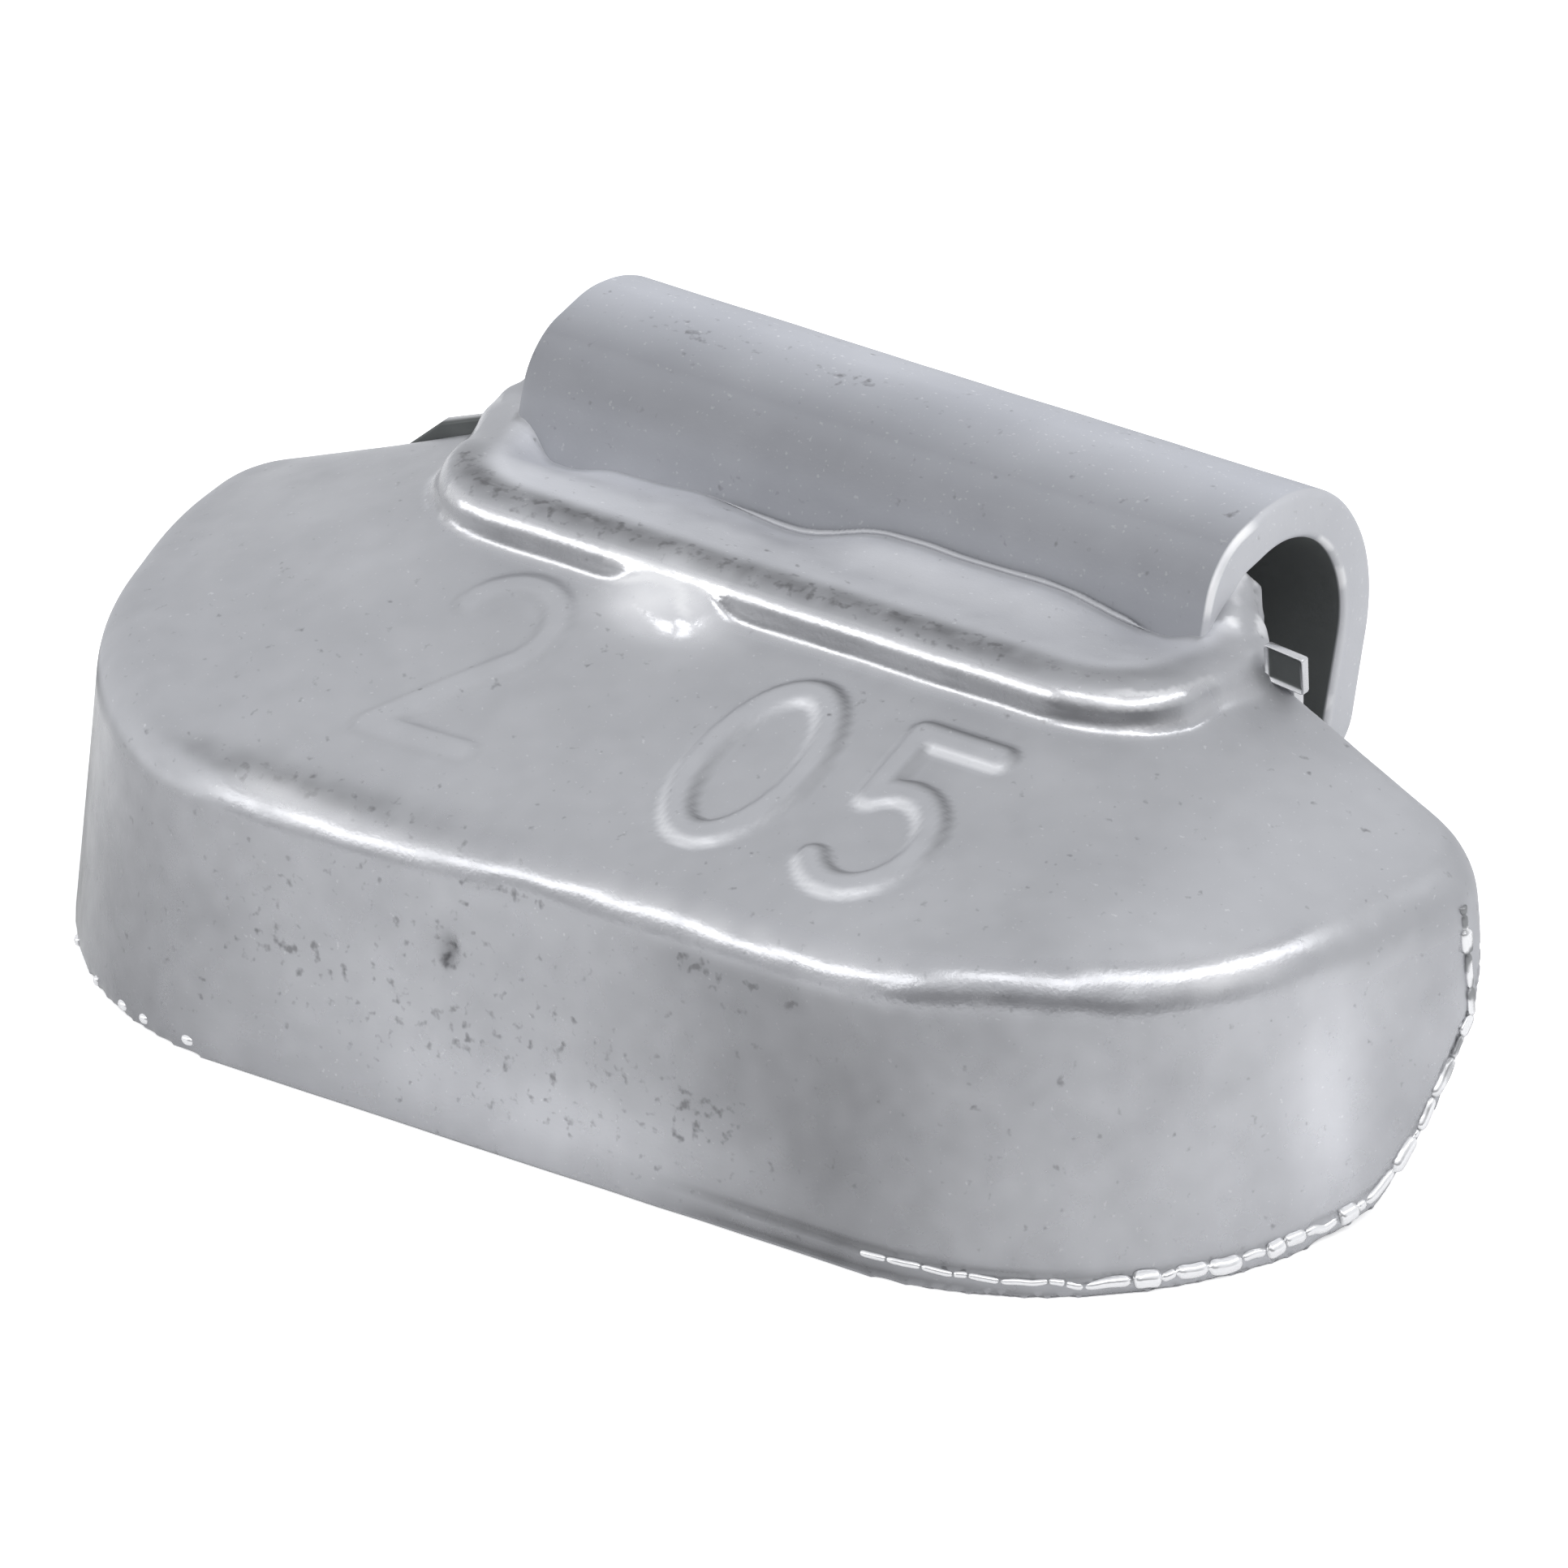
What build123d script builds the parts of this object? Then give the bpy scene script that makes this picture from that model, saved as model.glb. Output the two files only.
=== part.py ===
"""Clip-on wheel balance weight: a zinc body cast round the root of a spring-steel rim clip.

Millimetres. +X runs along the flange, +Y points towards the flange's lip, which the clip grips,
and +Z points away from the wheel. The origin is the middle of the flat seat under the body.
"""

import os
from math import cos, radians, sin, tan

from build123d import *

# Cast body in plan, a long D with its straight front towards the hub
body_length = 21.2
body_depth = 8.5
end_slant = 12.0
corner_radius = 5.0
rear_bow = 0.6
rear_corner_radius = 0.8
rear_clearance = 0.05

# Cast body in height
edge_height = 4.3
draft_angle = 5.0
edge_round = 0.55

# Rim side, a flat seat and a convex back that follows the flange's curl
seat_depth = 5.2
back_radius = 12.0
back_height = 4.6

# Raised pad round the clip's root
pad_length = 12.9
pad_depth = 3.15
pad_corner_radius = 2.2
pad_foot_height = 5.67
pad_rise = 0.66
pad_draft = 8.0
pad_fall = 6.0
pad_round = 0.28
crease_round = 0.3

# Spring clip, one bent strip
clip_width = 10.9
clip_thickness = 0.65
root_inset = 0.51
root_lean = 74.0
root_length = 0.83
shoulder_radius = 0.75
crown_rise = 10.0
crown_length = 0.38
hook_radius = 1.92
leg_lean = 16.0
leg_length = 2.3
tip_corner_radius = 1.2

# Tang, the end of the strip that the body is cast round
tang_slope = 40.0
tang_bend_radius = 1.4
tang_length = 3.2
tang_hole_diameter = 1.5
tang_hole_spacing = 5.0

# Collar, the cast metal behind the strip, and the thin lip along its foot
collar_thickness = 0.8
collar_shoulder_height = 6.3
collar_low_height = 5.4
collar_foot_height = 4.2
collar_foot_inset = 0.6
collar_round = 0.2
lip_length = 13.3
lip_height = 5.9
lip_thickness = 0.25
lip_setback = 0.1

# Gussets, the webs of cast metal up the strip's two edges
gusset_width = 0.8
gusset_top_height = 6.95
gusset_foot_height = 6.0
gusset_depth = 0.45
gusset_root = 0.6

# Places worked out from the sizes
front_y = -seat_depth / 2
rear_y = front_y + body_depth
draft_inset = edge_height * tan(radians(draft_angle))
pad_front_y = rear_y - pad_depth
pad_inset = pad_rise * tan(radians(pad_draft))
collar_rear_y = rear_y + collar_thickness
lip_rear_y = rear_y - lip_setback
plan_rear_x = body_length / 2 + rear_clearance
plan_front_x = plan_rear_x - body_depth * tan(radians(end_slant))


def d_outline(height, length, front, corner):
    """Returns a long D at a height: straight front with round corners, slanted ends and straight rear."""
    rear_x = length / 2
    front_x = rear_x - (rear_y - front) * tan(radians(end_slant))
    with BuildSketch(Plane.XY.offset(height)) as outline:
        with BuildLine():
            Polyline((rear_x, rear_y), (front_x, front), (-front_x, front), (-rear_x, rear_y), close=True)
        make_face()
        fillet(outline.vertices().group_by(Axis.Y)[0], corner)
    return outline.sketch


# Spring clip: tang, root, shoulder, crown, hook and free leg along one line
with BuildPart() as clip:
    with BuildSketch(Plane.YZ):
        with BuildLine():
            root = PolarLine((rear_y - root_inset, pad_foot_height), root_length, root_lean)
            shoulder = JernArc(root @ 1, root % 1, shoulder_radius, crown_rise - root_lean)
            crown = PolarLine(shoulder @ 1, crown_length, crown_rise)
            hook = JernArc(crown @ 1, crown % 1, hook_radius, -(90 + leg_lean + crown_rise))
            leg = PolarLine(hook @ 1, leg_length, -(90 + leg_lean))
            tang_bend = JernArc(root @ 0, -(root % 0), tang_bend_radius, tang_slope - root_lean)
            tang = PolarLine(tang_bend @ 1, tang_length, tang_slope + 180)
        trace(line_width=clip_thickness)
    extrude(amount=clip_width / 2, both=True)
    tip = Vector(0, (leg @ 1).X, (leg @ 1).Y)
    tip_face = clip.faces().sort_by_distance(tip)[0]
    fillet(tip_face.edges().sort_by(SortBy.LENGTH)[:2], tip_corner_radius)
    tang_middle = tang @ 0.5
    tang_plane = Plane(
        origin=(0, tang_middle.X, tang_middle.Y),
        x_dir=(1, 0, 0),
        z_dir=(0, -sin(radians(tang_slope)), cos(radians(tang_slope))),
    )
    with BuildSketch(tang_plane):
        with GridLocations(tang_hole_spacing, 0, 2, 1):
            Circle(tang_hole_diameter / 2)
    extrude(amount=clip_thickness, both=True, mode=Mode.SUBTRACT)

# Cast body: drafted wall, hipped top and pad, then the rounds, the back, the collar and the clip's place
foot_outline = d_outline(0, body_length, front_y, corner_radius)
edge_outline = d_outline(
    edge_height,
    body_length - 2 * draft_inset,
    front_y + draft_inset,
    corner_radius - draft_inset,
)
pad_outline = d_outline(pad_foot_height, pad_length, pad_front_y, pad_corner_radius)
pad_top_outline = d_outline(
    pad_foot_height + pad_rise,
    pad_length - 2 * pad_inset,
    pad_front_y + pad_inset,
    pad_corner_radius - pad_inset,
)
pad_plane = Plane(
    origin=(0, pad_front_y, pad_foot_height + pad_rise),
    x_dir=(1, 0, 0),
    z_dir=(0, sin(radians(pad_fall)), cos(radians(pad_fall))),
)
with BuildPart() as body:
    loft([foot_outline, edge_outline, pad_outline], ruled=True)
    edge_ring = body.edges().filter_by_position(Axis.Z, edge_height, edge_height)
    fillet(edge_ring.sort_by(Axis.Y)[:-1], edge_round)
    loft([pad_outline, pad_top_outline], ruled=True)
    split(bisect_by=pad_plane, keep=Keep.BOTTOM)
    pad_top = body.faces().sort_by(Axis.Z)[-1]
    fillet(pad_top.edges().sort_by(Axis.Y)[:-1], pad_round)
    crease = body.edges().filter_by_position(Axis.Z, pad_foot_height, pad_foot_height)
    fillet(crease, crease_round)

    with BuildSketch() as rear_plan:
        with BuildLine():
            sides = Polyline(
                (plan_rear_x, rear_y - rear_bow),
                (plan_front_x, front_y - rear_clearance),
                (-plan_front_x, front_y - rear_clearance),
                (-plan_rear_x, rear_y - rear_bow),
            )
            ThreePointArc(sides @ 1, (0, rear_y), sides @ 0)
        make_face()
        fillet(rear_plan.vertices().group_by(Axis.Y)[-1], rear_corner_radius)
    extrude(amount=pad_foot_height + pad_rise, mode=Mode.INTERSECT)

    with BuildSketch(Plane.YZ):
        with BuildLine():
            curl = RadiusArc((front_y + seat_depth, 0), (rear_y, back_height), -back_radius)
            Polyline(curl @ 0, (rear_y, 0), curl @ 1)
        make_face()
    extrude(amount=body_length, both=True, mode=Mode.SUBTRACT)

    with BuildSketch(Plane.YZ):
        with BuildLine():
            Polyline(
                (lip_rear_y - lip_thickness, lip_height),
                (lip_rear_y, lip_height),
                (lip_rear_y, collar_foot_height),
                (lip_rear_y - lip_thickness, collar_foot_height),
                close=True,
            )
        make_face()
    extrude(amount=lip_length / 2, both=True)

    with BuildSketch(Plane.YZ) as collar:
        with BuildLine():
            Polyline(
                tang_bend @ 1,
                root @ 0,
                root @ 1,
                shoulder @ 1,
                (collar_rear_y, collar_shoulder_height),
                (collar_rear_y, collar_low_height),
                (rear_y - collar_foot_inset, collar_foot_height),
                close=True,
            )
        make_face()
        fillet(collar.vertices().group_by(Axis.X)[-1], collar_round)
    extrude(amount=clip_width / 2, both=True)

    with BuildSketch(Plane.XZ.offset(-rear_y)):
        with BuildLine():
            Polyline(
                (clip_width / 2, gusset_top_height),
                (clip_width / 2 + gusset_width, gusset_foot_height),
                (clip_width / 2 + gusset_width, gusset_foot_height - gusset_root),
                (clip_width / 2, gusset_foot_height - gusset_root),
                close=True,
            )
        make_face()
        mirror(about=Plane.YZ)
    extrude(amount=gusset_depth)
    add(clip.part, mode=Mode.SUBTRACT)

body.part.label = "weight_body"
clip.part.label = "rim_clip"

os.makedirs("parts", exist_ok=True)
export_step(body.part, "parts/weight_body.step")
export_step(clip.part, "parts/rim_clip.step")
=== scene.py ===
"""Looks of a clip-on wheel balance weight: a satin zinc casting with a spring-steel rim clip cast into it.

The shapes are worked out in millimetres in the part's own frame and scaled to metres at the end.
"""

import logging
import math
from dataclasses import dataclass, field
from enum import Enum

import bmesh
import bpy
import numpy as np
from mathutils import Matrix, Quaternion, Vector


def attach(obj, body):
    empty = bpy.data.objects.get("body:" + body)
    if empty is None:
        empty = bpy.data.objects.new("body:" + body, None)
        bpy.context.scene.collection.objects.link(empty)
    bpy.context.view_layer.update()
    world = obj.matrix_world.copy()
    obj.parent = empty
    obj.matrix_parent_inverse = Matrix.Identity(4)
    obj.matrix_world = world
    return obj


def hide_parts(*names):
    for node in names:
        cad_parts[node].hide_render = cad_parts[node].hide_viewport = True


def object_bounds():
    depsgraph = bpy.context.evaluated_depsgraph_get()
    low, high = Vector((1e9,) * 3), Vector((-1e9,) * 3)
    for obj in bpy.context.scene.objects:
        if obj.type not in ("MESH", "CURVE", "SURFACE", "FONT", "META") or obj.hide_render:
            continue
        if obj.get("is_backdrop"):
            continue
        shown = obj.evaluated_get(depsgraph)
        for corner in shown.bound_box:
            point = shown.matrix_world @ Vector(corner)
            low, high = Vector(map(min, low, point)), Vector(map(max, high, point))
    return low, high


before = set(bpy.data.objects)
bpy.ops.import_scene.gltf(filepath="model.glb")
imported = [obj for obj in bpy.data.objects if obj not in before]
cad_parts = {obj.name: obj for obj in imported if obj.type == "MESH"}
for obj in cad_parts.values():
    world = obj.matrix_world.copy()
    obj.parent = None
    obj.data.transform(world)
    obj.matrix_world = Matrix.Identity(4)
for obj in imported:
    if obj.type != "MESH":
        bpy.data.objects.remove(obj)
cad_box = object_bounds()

LOG = logging.getLogger("balance_weight")
MILLIMETRE = 0.001
BOX_MARGIN = 0.002
# Marks the finish reads: dirt with painted dark reflection, uncoated metal with painted highlight, painted
# shade, dullness, and a scale of random mottling with painted light and shade
PLAIN_MARKS = {"grime": 0.0, "burr": 0.0, "shade": 0.0, "dull": 0.0, "tone": 1.0}
MARK_LIMITS = {"tone": 2.0}


class Figure(Enum):
    """Plain raised figures that the top face can carry."""

    NOUGHT = "nought"
    TWO = "two"
    FIVE = "five"


@dataclass(frozen=True)
class SoftBox:
    """A flat soft lamp: its way from the object, size, distance, turn and radiance. Metres and degrees."""

    way: tuple
    wide: float
    tall: float = 0.07
    away: float = 0.3
    roll: float = 0.0
    radiance: float = 2.0


class Lamp(Enum):
    """The soft lamps of the studio."""

    KEY = SoftBox((-0.7, -0.62, 0.36), wide=0.34, roll=28.0)
    FRONT = SoftBox((0.15, -0.62, 0.77), wide=0.2)
    SIDE = SoftBox((0.63, -0.04, 0.75), wide=0.42, radiance=2.4)


def cell_noise(points: np.ndarray, cell: float, seed: int) -> np.ndarray:
    """Smooth value noise that is the same on each run.

    Args:
        points: Places in millimetres, one row each.
        cell: Size of one noise cell in millimetres.
        seed: Whole number that picks the pattern.

    Returns:
        One value from -1 to 1 for each point.
    """
    scaled = points / cell + seed * 17.31
    base = np.floor(scaled).astype(np.int64)
    part = scaled - base
    smooth = part * part * (3 - 2 * part)
    total = np.zeros(len(points))
    for corner in range(8):
        step = np.array([corner & 1, corner >> 1 & 1, corner >> 2 & 1])
        spot = base + step
        # A hash of the cell's corner gives its value
        mixed = spot[:, 0] * 73856093 ^ spot[:, 1] * 19349663 ^ spot[:, 2] * 83492791 ^ seed * 2654435
        mixed = (mixed ^ (mixed >> 13)) * 1274126177 & 0x7FFFFFFF
        value = (mixed ^ (mixed >> 16)) % 65536 / 32767.5 - 1
        weight = np.where(step, smooth, 1 - smooth).prod(axis=1)
        total += value * weight
    return total


def ease(value: np.ndarray, low: float, high: float) -> np.ndarray:
    """Returns 0 below low, 1 above high and a smooth step between them."""
    part = np.clip((value - low) / (high - low), 0, 1)
    return part * part * (3 - 2 * part)


def fade(value: np.ndarray, low: float, high: float) -> np.ndarray:
    """Returns 1 below low, 0 above high and a smooth step between them."""
    return 1 - ease(value, low, high)


def bell(value: np.ndarray, middle: np.ndarray | float, reach: float) -> np.ndarray:
    """Returns 1 at the middle and a bell curve that fades over the reach on both sides."""
    return np.exp(-(((value - middle) / reach) ** 2))


def inside_box(points: np.ndarray) -> np.ndarray:
    """Returns points in millimetres, held just inside the box of the solids."""
    low = np.array(cad_box[0]) / MILLIMETRE + BOX_MARGIN
    high = np.array(cad_box[1]) / MILLIMETRE - BOX_MARGIN
    return np.clip(points, low, high)


def round_corner(
    before: np.ndarray, corner: np.ndarray, after: np.ndarray, radius: float, steps: int, share: float = 0.48
) -> np.ndarray:
    """Circular rounds for many corners at once.

    Args:
        before: The points ahead of the corners, one row each.
        corner: The corner points.
        after: The points past the corners.
        radius: Radius of the round.
        steps: Number of points along each round.
        share: The most of either side that a round may take.

    Returns:
        An array of steps rows of points, from the side of before to the side of after.
    """
    back = before - corner
    ahead = after - corner
    back_length = np.linalg.norm(back, axis=-1, keepdims=True) + 1e-9
    ahead_length = np.linalg.norm(ahead, axis=-1, keepdims=True) + 1e-9
    back = back / back_length
    ahead = ahead / ahead_length
    half_turn = (math.pi - np.arccos(np.clip((back * ahead).sum(-1, keepdims=True), -1, 1))) / 2
    reach = np.minimum(radius * np.tan(half_turn), share * np.minimum(back_length, ahead_length))
    weight = np.cos(half_turn)
    rows = []
    for t in np.linspace(0, 1, steps):
        first = (1 - t) ** 2
        middle = 2 * t * (1 - t) * weight
        last = t * t
        total = first + middle + last
        begin = first * (corner + back * reach)
        end = last * (corner + ahead * reach)
        rows.append((begin + middle * corner + end) / total)
    return np.array(rows)


def mesh_object(name: str, points: np.ndarray, faces: list) -> bpy.types.Object:
    """Returns a linked object with a mesh made of the points and faces."""
    mesh = bpy.data.meshes.new(name)
    mesh.from_pydata([tuple(p) for p in points], [], faces)
    piece = bpy.data.objects.new(name, mesh)
    bpy.context.scene.collection.objects.link(piece)
    return piece


def bmesh_object(name: str, shape: bmesh.types.BMesh) -> bpy.types.Object:
    """Returns a linked object with the mesh of an edited shape, which is freed."""
    piece = mesh_object(name, np.zeros((0, 3)), [])
    shape.to_mesh(piece.data)
    shape.free()
    return piece


def mesh_points(mesh: bpy.types.Mesh) -> np.ndarray:
    """Returns the places of a mesh's points, one row each."""
    flat = np.empty(len(mesh.vertices) * 3)
    mesh.vertices.foreach_get("co", flat)
    return flat.reshape(-1, 3)


def mesh_normals(mesh: bpy.types.Mesh) -> np.ndarray:
    """Returns the outward directions at a mesh's points, one row each."""
    flat = np.empty(len(mesh.vertices) * 3)
    mesh.vertex_normals.foreach_get("vector", flat)
    return flat.reshape(-1, 3)


def set_points(mesh: bpy.types.Mesh, points: np.ndarray) -> None:
    """Puts a mesh's points, given in millimetres, at their places in metres."""
    mesh.vertices.foreach_set("co", (points * MILLIMETRE).ravel())


def relax(points: np.ndarray, edges: np.ndarray, share: np.ndarray | float, passes: int) -> np.ndarray:
    """Moves each point towards the middle of its neighbours.

    Args:
        points: Places of the points.
        edges: Pairs of neighbouring points.
        share: How far a point moves in each pass, from 0 to 1.
        passes: Number of passes.

    Returns:
        The moved points.
    """
    ends = np.concatenate([edges[:, 0], edges[:, 1]])
    others = np.concatenate([edges[:, 1], edges[:, 0]])
    count = np.bincount(ends, minlength=len(points))[:, None]
    share = np.broadcast_to(share, len(points))[:, None]
    for _ in range(passes):
        sums = [np.bincount(ends, points[others, axis], len(points)) for axis in range(3)]
        points = points + share * (np.column_stack(sums) / np.maximum(count, 1) - points)
    return points


def keep_marks(mesh: bpy.types.Mesh, **marks: np.ndarray) -> None:
    """Keeps the numbers that the finish reads at each point, and shades the mesh smooth.

    Args:
        mesh: The mesh, with its points in place.
        **marks: Any of the marks in PLAIN_MARKS: dirt with painted dark reflection, uncoated metal with
                 painted highlight, painted shade, dullness (each 0 to 1), and a scale of random mottling with
                 painted light and shade (1 is plain).
    """
    for name, plain in PLAIN_MARKS.items():
        values = marks.get(name, np.full(len(mesh.vertices), plain))
        values = np.clip(values, 0, MARK_LIMITS.get(name, 1.0))
        mesh.attributes.new(name, "FLOAT", "POINT").data.foreach_set("value", values.astype(np.float32))
    mesh.shade_smooth()
    mesh.update()


def lift(outline: np.ndarray, height: float) -> np.ndarray:
    """Returns an outline's points at a height."""
    return np.column_stack([outline, np.full(len(outline), height)])


def prism(name: str, outline: list, axis: int, low: float, high: float) -> bpy.types.Object:
    """A straight prism.

    Args:
        name: Name of the piece.
        outline: Corner points in the two axes that the prism doesn't run along.
        axis: 0 to run along X and 1 to run along Y.
        low: Where the prism starts.
        high: Where it ends.

    Returns:
        The prism's object.
    """
    count = len(outline)
    points = []
    for place in (low, high):
        for first, second in outline:
            points.append((place, first, second) if axis == 0 else (first, place, second))
    faces = [tuple(range(count)), tuple(range(2 * count - 1, count - 1, -1))]
    for i in range(count):
        j = (i + 1) % count
        faces.append((i, i + count, j + count, j))
    return mesh_object(name, np.array(points), faces)


def lump(name: str, balls: list) -> bpy.types.Object:
    """One smooth lump of cast metal.

    Args:
        name: Name of the piece.
        balls: Pairs of a middle point and three radii; the lump is stretched over them.

    Returns:
        The lump's object.
    """
    mound = bmesh.new()
    for middle, radii in balls:
        place = Matrix.Translation(middle) @ Matrix.Diagonal((*radii, 1.0))
        bmesh.ops.create_uvsphere(mound, u_segments=32, v_segments=20, radius=1.0, matrix=place)
    hull = bmesh.ops.convex_hull(mound, input=mound.verts)
    bmesh.ops.delete(mound, geom=hull["geom_interior"] + hull["geom_unused"], context="VERTS")
    return bmesh_object(name, mound)


def grid_faces(rows: int, columns: int, start: int = 0, closed: bool = False) -> list:
    """Quads of a grid of points.

    Args:
        rows: Number of rows of points.
        columns: Number of points in each row.
        start: Index of the first point.
        closed: Whether each row joins its own start.

    Returns:
        A list of faces.
    """
    faces = []
    last = columns if closed else columns - 1
    for row in range(rows - 1):
        for column in range(last):
            here = start + row * columns + column
            beside = start + row * columns + (column + 1) % columns
            faces.append((here, beside, beside + columns, here + columns))
    return faces


class NodeSheet:
    """A small helper that adds shader nodes and joins them."""

    def __init__(self, tree: bpy.types.NodeTree) -> None:
        """Starts with an empty node tree."""
        self.tree = tree
        self.tree.nodes.clear()

    def add(self, kind: str, settings: dict | None = None, **inputs: object) -> bpy.types.Node:
        """Adds a node.

        Args:
            kind: Blender's name of the node type, without its ShaderNode prefix.
            settings: Properties of the node itself.
            **inputs: Values or sockets for inputs, by name with spaces as underscores, or in0, in1 by number.

        Returns:
            The new node.
        """
        node = self.tree.nodes.new("ShaderNode" + kind)
        for key, value in (settings or {}).items():
            setattr(node, key, value)
        for key, value in inputs.items():
            number = key[2:] if key.startswith("in") and key[2:].isdigit() else None
            socket = node.inputs[int(number)] if number else node.inputs[key.replace("_", " ")]
            if isinstance(value, bpy.types.NodeSocket):
                self.tree.links.new(value, socket)
            else:
                socket.default_value = value
        return node

    def math(self, operation: str, first: object, second: object = 0.0) -> bpy.types.NodeSocket:
        """Returns the output of a math node."""
        return self.add("Math", {"operation": operation}, in0=first, in1=second).outputs[0]

    def noise(self, place: bpy.types.NodeSocket, cell: float, detail: float = 3.0) -> bpy.types.NodeSocket:
        """Returns noise whose cells are that many millimetres wide."""
        scale = 1 / (cell * MILLIMETRE)
        return self.add("TexNoise", None, Vector=place, Scale=scale, Detail=detail).outputs["Fac"]

    def span(
        self, value: object, low: float, high: float, to_low: float, to_high: float
    ) -> bpy.types.NodeSocket:
        """Returns a value moved from one span to another, and held inside it."""
        node = self.add("MapRange", {"clamp": True}, Value=value, From_Min=low, From_Max=high)
        node.inputs["To Min"].default_value = to_low
        node.inputs["To Max"].default_value = to_high
        return node.outputs["Result"]

    def mix(self, factor: object, first: object, second: object) -> bpy.types.NodeSocket:
        """Returns two colours mixed by a factor."""
        node = self.add("Mix", {"data_type": "RGBA"}, in0=factor)
        for index, colour in ((6, first), (7, second)):
            if isinstance(colour, bpy.types.NodeSocket):
                self.tree.links.new(colour, node.inputs[index])
            else:
                node.inputs[index].default_value = (*colour, 1.0)
        return node.outputs[2]

    def attribute(self, name: str) -> bpy.types.NodeSocket:
        """Returns a number that the mesh keeps for each point."""
        return self.add("Attribute", {"attribute_name": name}).outputs["Fac"]


@dataclass(frozen=True)
class SilverCoat:
    """A satin silver-grey metallic coat with a fine painted sparkle, dark pinholes, uncoated metal and
    painted highlights and shade.
    """

    name: str
    pale: tuple = (0.475, 0.48, 0.5)
    deep: tuple = (0.43, 0.435, 0.455)
    # Pale specks of the painted sparkle
    speck: tuple = (0.68, 0.685, 0.7)
    # Dark flecks: dirt, and painted dark reflection where the dark bands lie
    fleck: tuple = (0.12, 0.12, 0.125)
    # Uncoated metal, also used for painted highlights
    bare_and_highlight: tuple = (0.9, 0.9, 0.91)
    # The colour of painted shade
    shade: tuple = (0.11, 0.117, 0.116)
    metallic: float = 0.72
    roughness: float = 0.24
    speck_start: float = 0.71
    cloud_cell: float = 2.6
    speck_cell: float = 0.07
    dirt_cell: float = 0.16
    patch_cell: float = 0.5
    peel_cell: float = 0.28
    grain_cell: float = 0.05
    peel_depth: float = 0.02
    grain_depth: float = 0.006
    dirt_from_grime: float = 0.24
    rough_in_shade: float = 0.3
    rough_on_burr: float = -0.08
    rough_where_dull: float = 0.35

    def colour(self, sheet: NodeSheet, place: bpy.types.NodeSocket) -> bpy.types.NodeSocket:
        """Returns the coat's colour: clouded, with a painted sparkle and scaled by painted light and shade,
        then soiled and darkened by painted dark reflection, paled to uncoated metal and painted highlight, or
        given painted shade.
        """
        cloud = sheet.noise(place, self.cloud_cell, 4.0)
        colour = sheet.mix(sheet.span(cloud, 0.35, 0.65, 0, 1), self.deep, self.pale)
        # A painted sparkle: pale specks standing for glints
        sparkle = sheet.noise(place, self.speck_cell, 1.0)
        glint = sheet.span(sparkle, self.speck_start, self.speck_start + 0.08, 0, 0.4)
        colour = sheet.mix(glint, colour, self.speck)
        # Scaled by random mottling and by painted light and shade
        toned = sheet.add("VectorMath", {"operation": "SCALE"}, in0=colour, Scale=sheet.attribute("tone"))
        colour = toned.outputs[0]
        # Dark flecks of dirt, denser where dirt or painted dark reflection is marked
        dirt = sheet.math("MULTIPLY", sheet.attribute("grime"), self.dirt_from_grime)
        dirt = sheet.math("ADD", sheet.noise(place, self.dirt_cell, 2.0), dirt)
        colour = sheet.mix(sheet.span(dirt, 0.68, 0.84, 0, 0.65), colour, self.fleck)
        # Paled to uncoated metal and painted highlight, then given painted shade
        colour = sheet.mix(sheet.attribute("burr"), colour, self.bare_and_highlight)
        return sheet.mix(sheet.attribute("shade"), colour, self.shade)

    def rough(self, sheet: NodeSheet, place: bpy.types.NodeSocket) -> bpy.types.NodeSocket:
        """Returns the coat's roughness, patchy and changed by the marks."""
        patch = sheet.noise(place, self.patch_cell, 3.0)
        rough = sheet.span(patch, 0.3, 0.7, self.roughness - 0.05, self.roughness + 0.06)
        changes = {"shade": self.rough_in_shade, "burr": self.rough_on_burr, "dull": self.rough_where_dull}
        for mark, change in changes.items():
            rough = sheet.math("ADD", rough, sheet.math("MULTIPLY", sheet.attribute(mark), change))
        return rough

    def uneven(self, sheet: NodeSheet, place: bpy.types.NodeSocket) -> bpy.types.NodeSocket:
        """Returns the coat's normal, with a soft peel and a fine grain."""
        peel = sheet.noise(place, self.peel_cell, 2.0)
        grain = sheet.noise(place, self.grain_cell, 2.0)
        peel_depth = self.peel_depth * MILLIMETRE
        grain_depth = self.grain_depth * MILLIMETRE
        soft = sheet.add("Bump", None, Strength=0.25, Distance=peel_depth, Height=peel).outputs["Normal"]
        fine = sheet.add("Bump", None, Strength=0.35, Distance=grain_depth, Height=grain, Normal=soft)
        return fine.outputs["Normal"]

    def material(self) -> bpy.types.Material:
        """Returns the procedural material of this finish."""
        material = bpy.data.materials.new(self.name)
        material.use_nodes = True
        sheet = NodeSheet(material.node_tree)
        place = sheet.add("TexCoord").outputs["Object"]
        shader = sheet.add(
            "BsdfPrincipled",
            None,
            Base_Color=self.colour(sheet, place),
            Roughness=self.rough(sheet, place),
            Normal=self.uneven(sheet, place),
        )
        shader.inputs["Metallic"].default_value = self.metallic
        sheet.add("OutputMaterial", None, Surface=shader.outputs[0])
        return material


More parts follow.
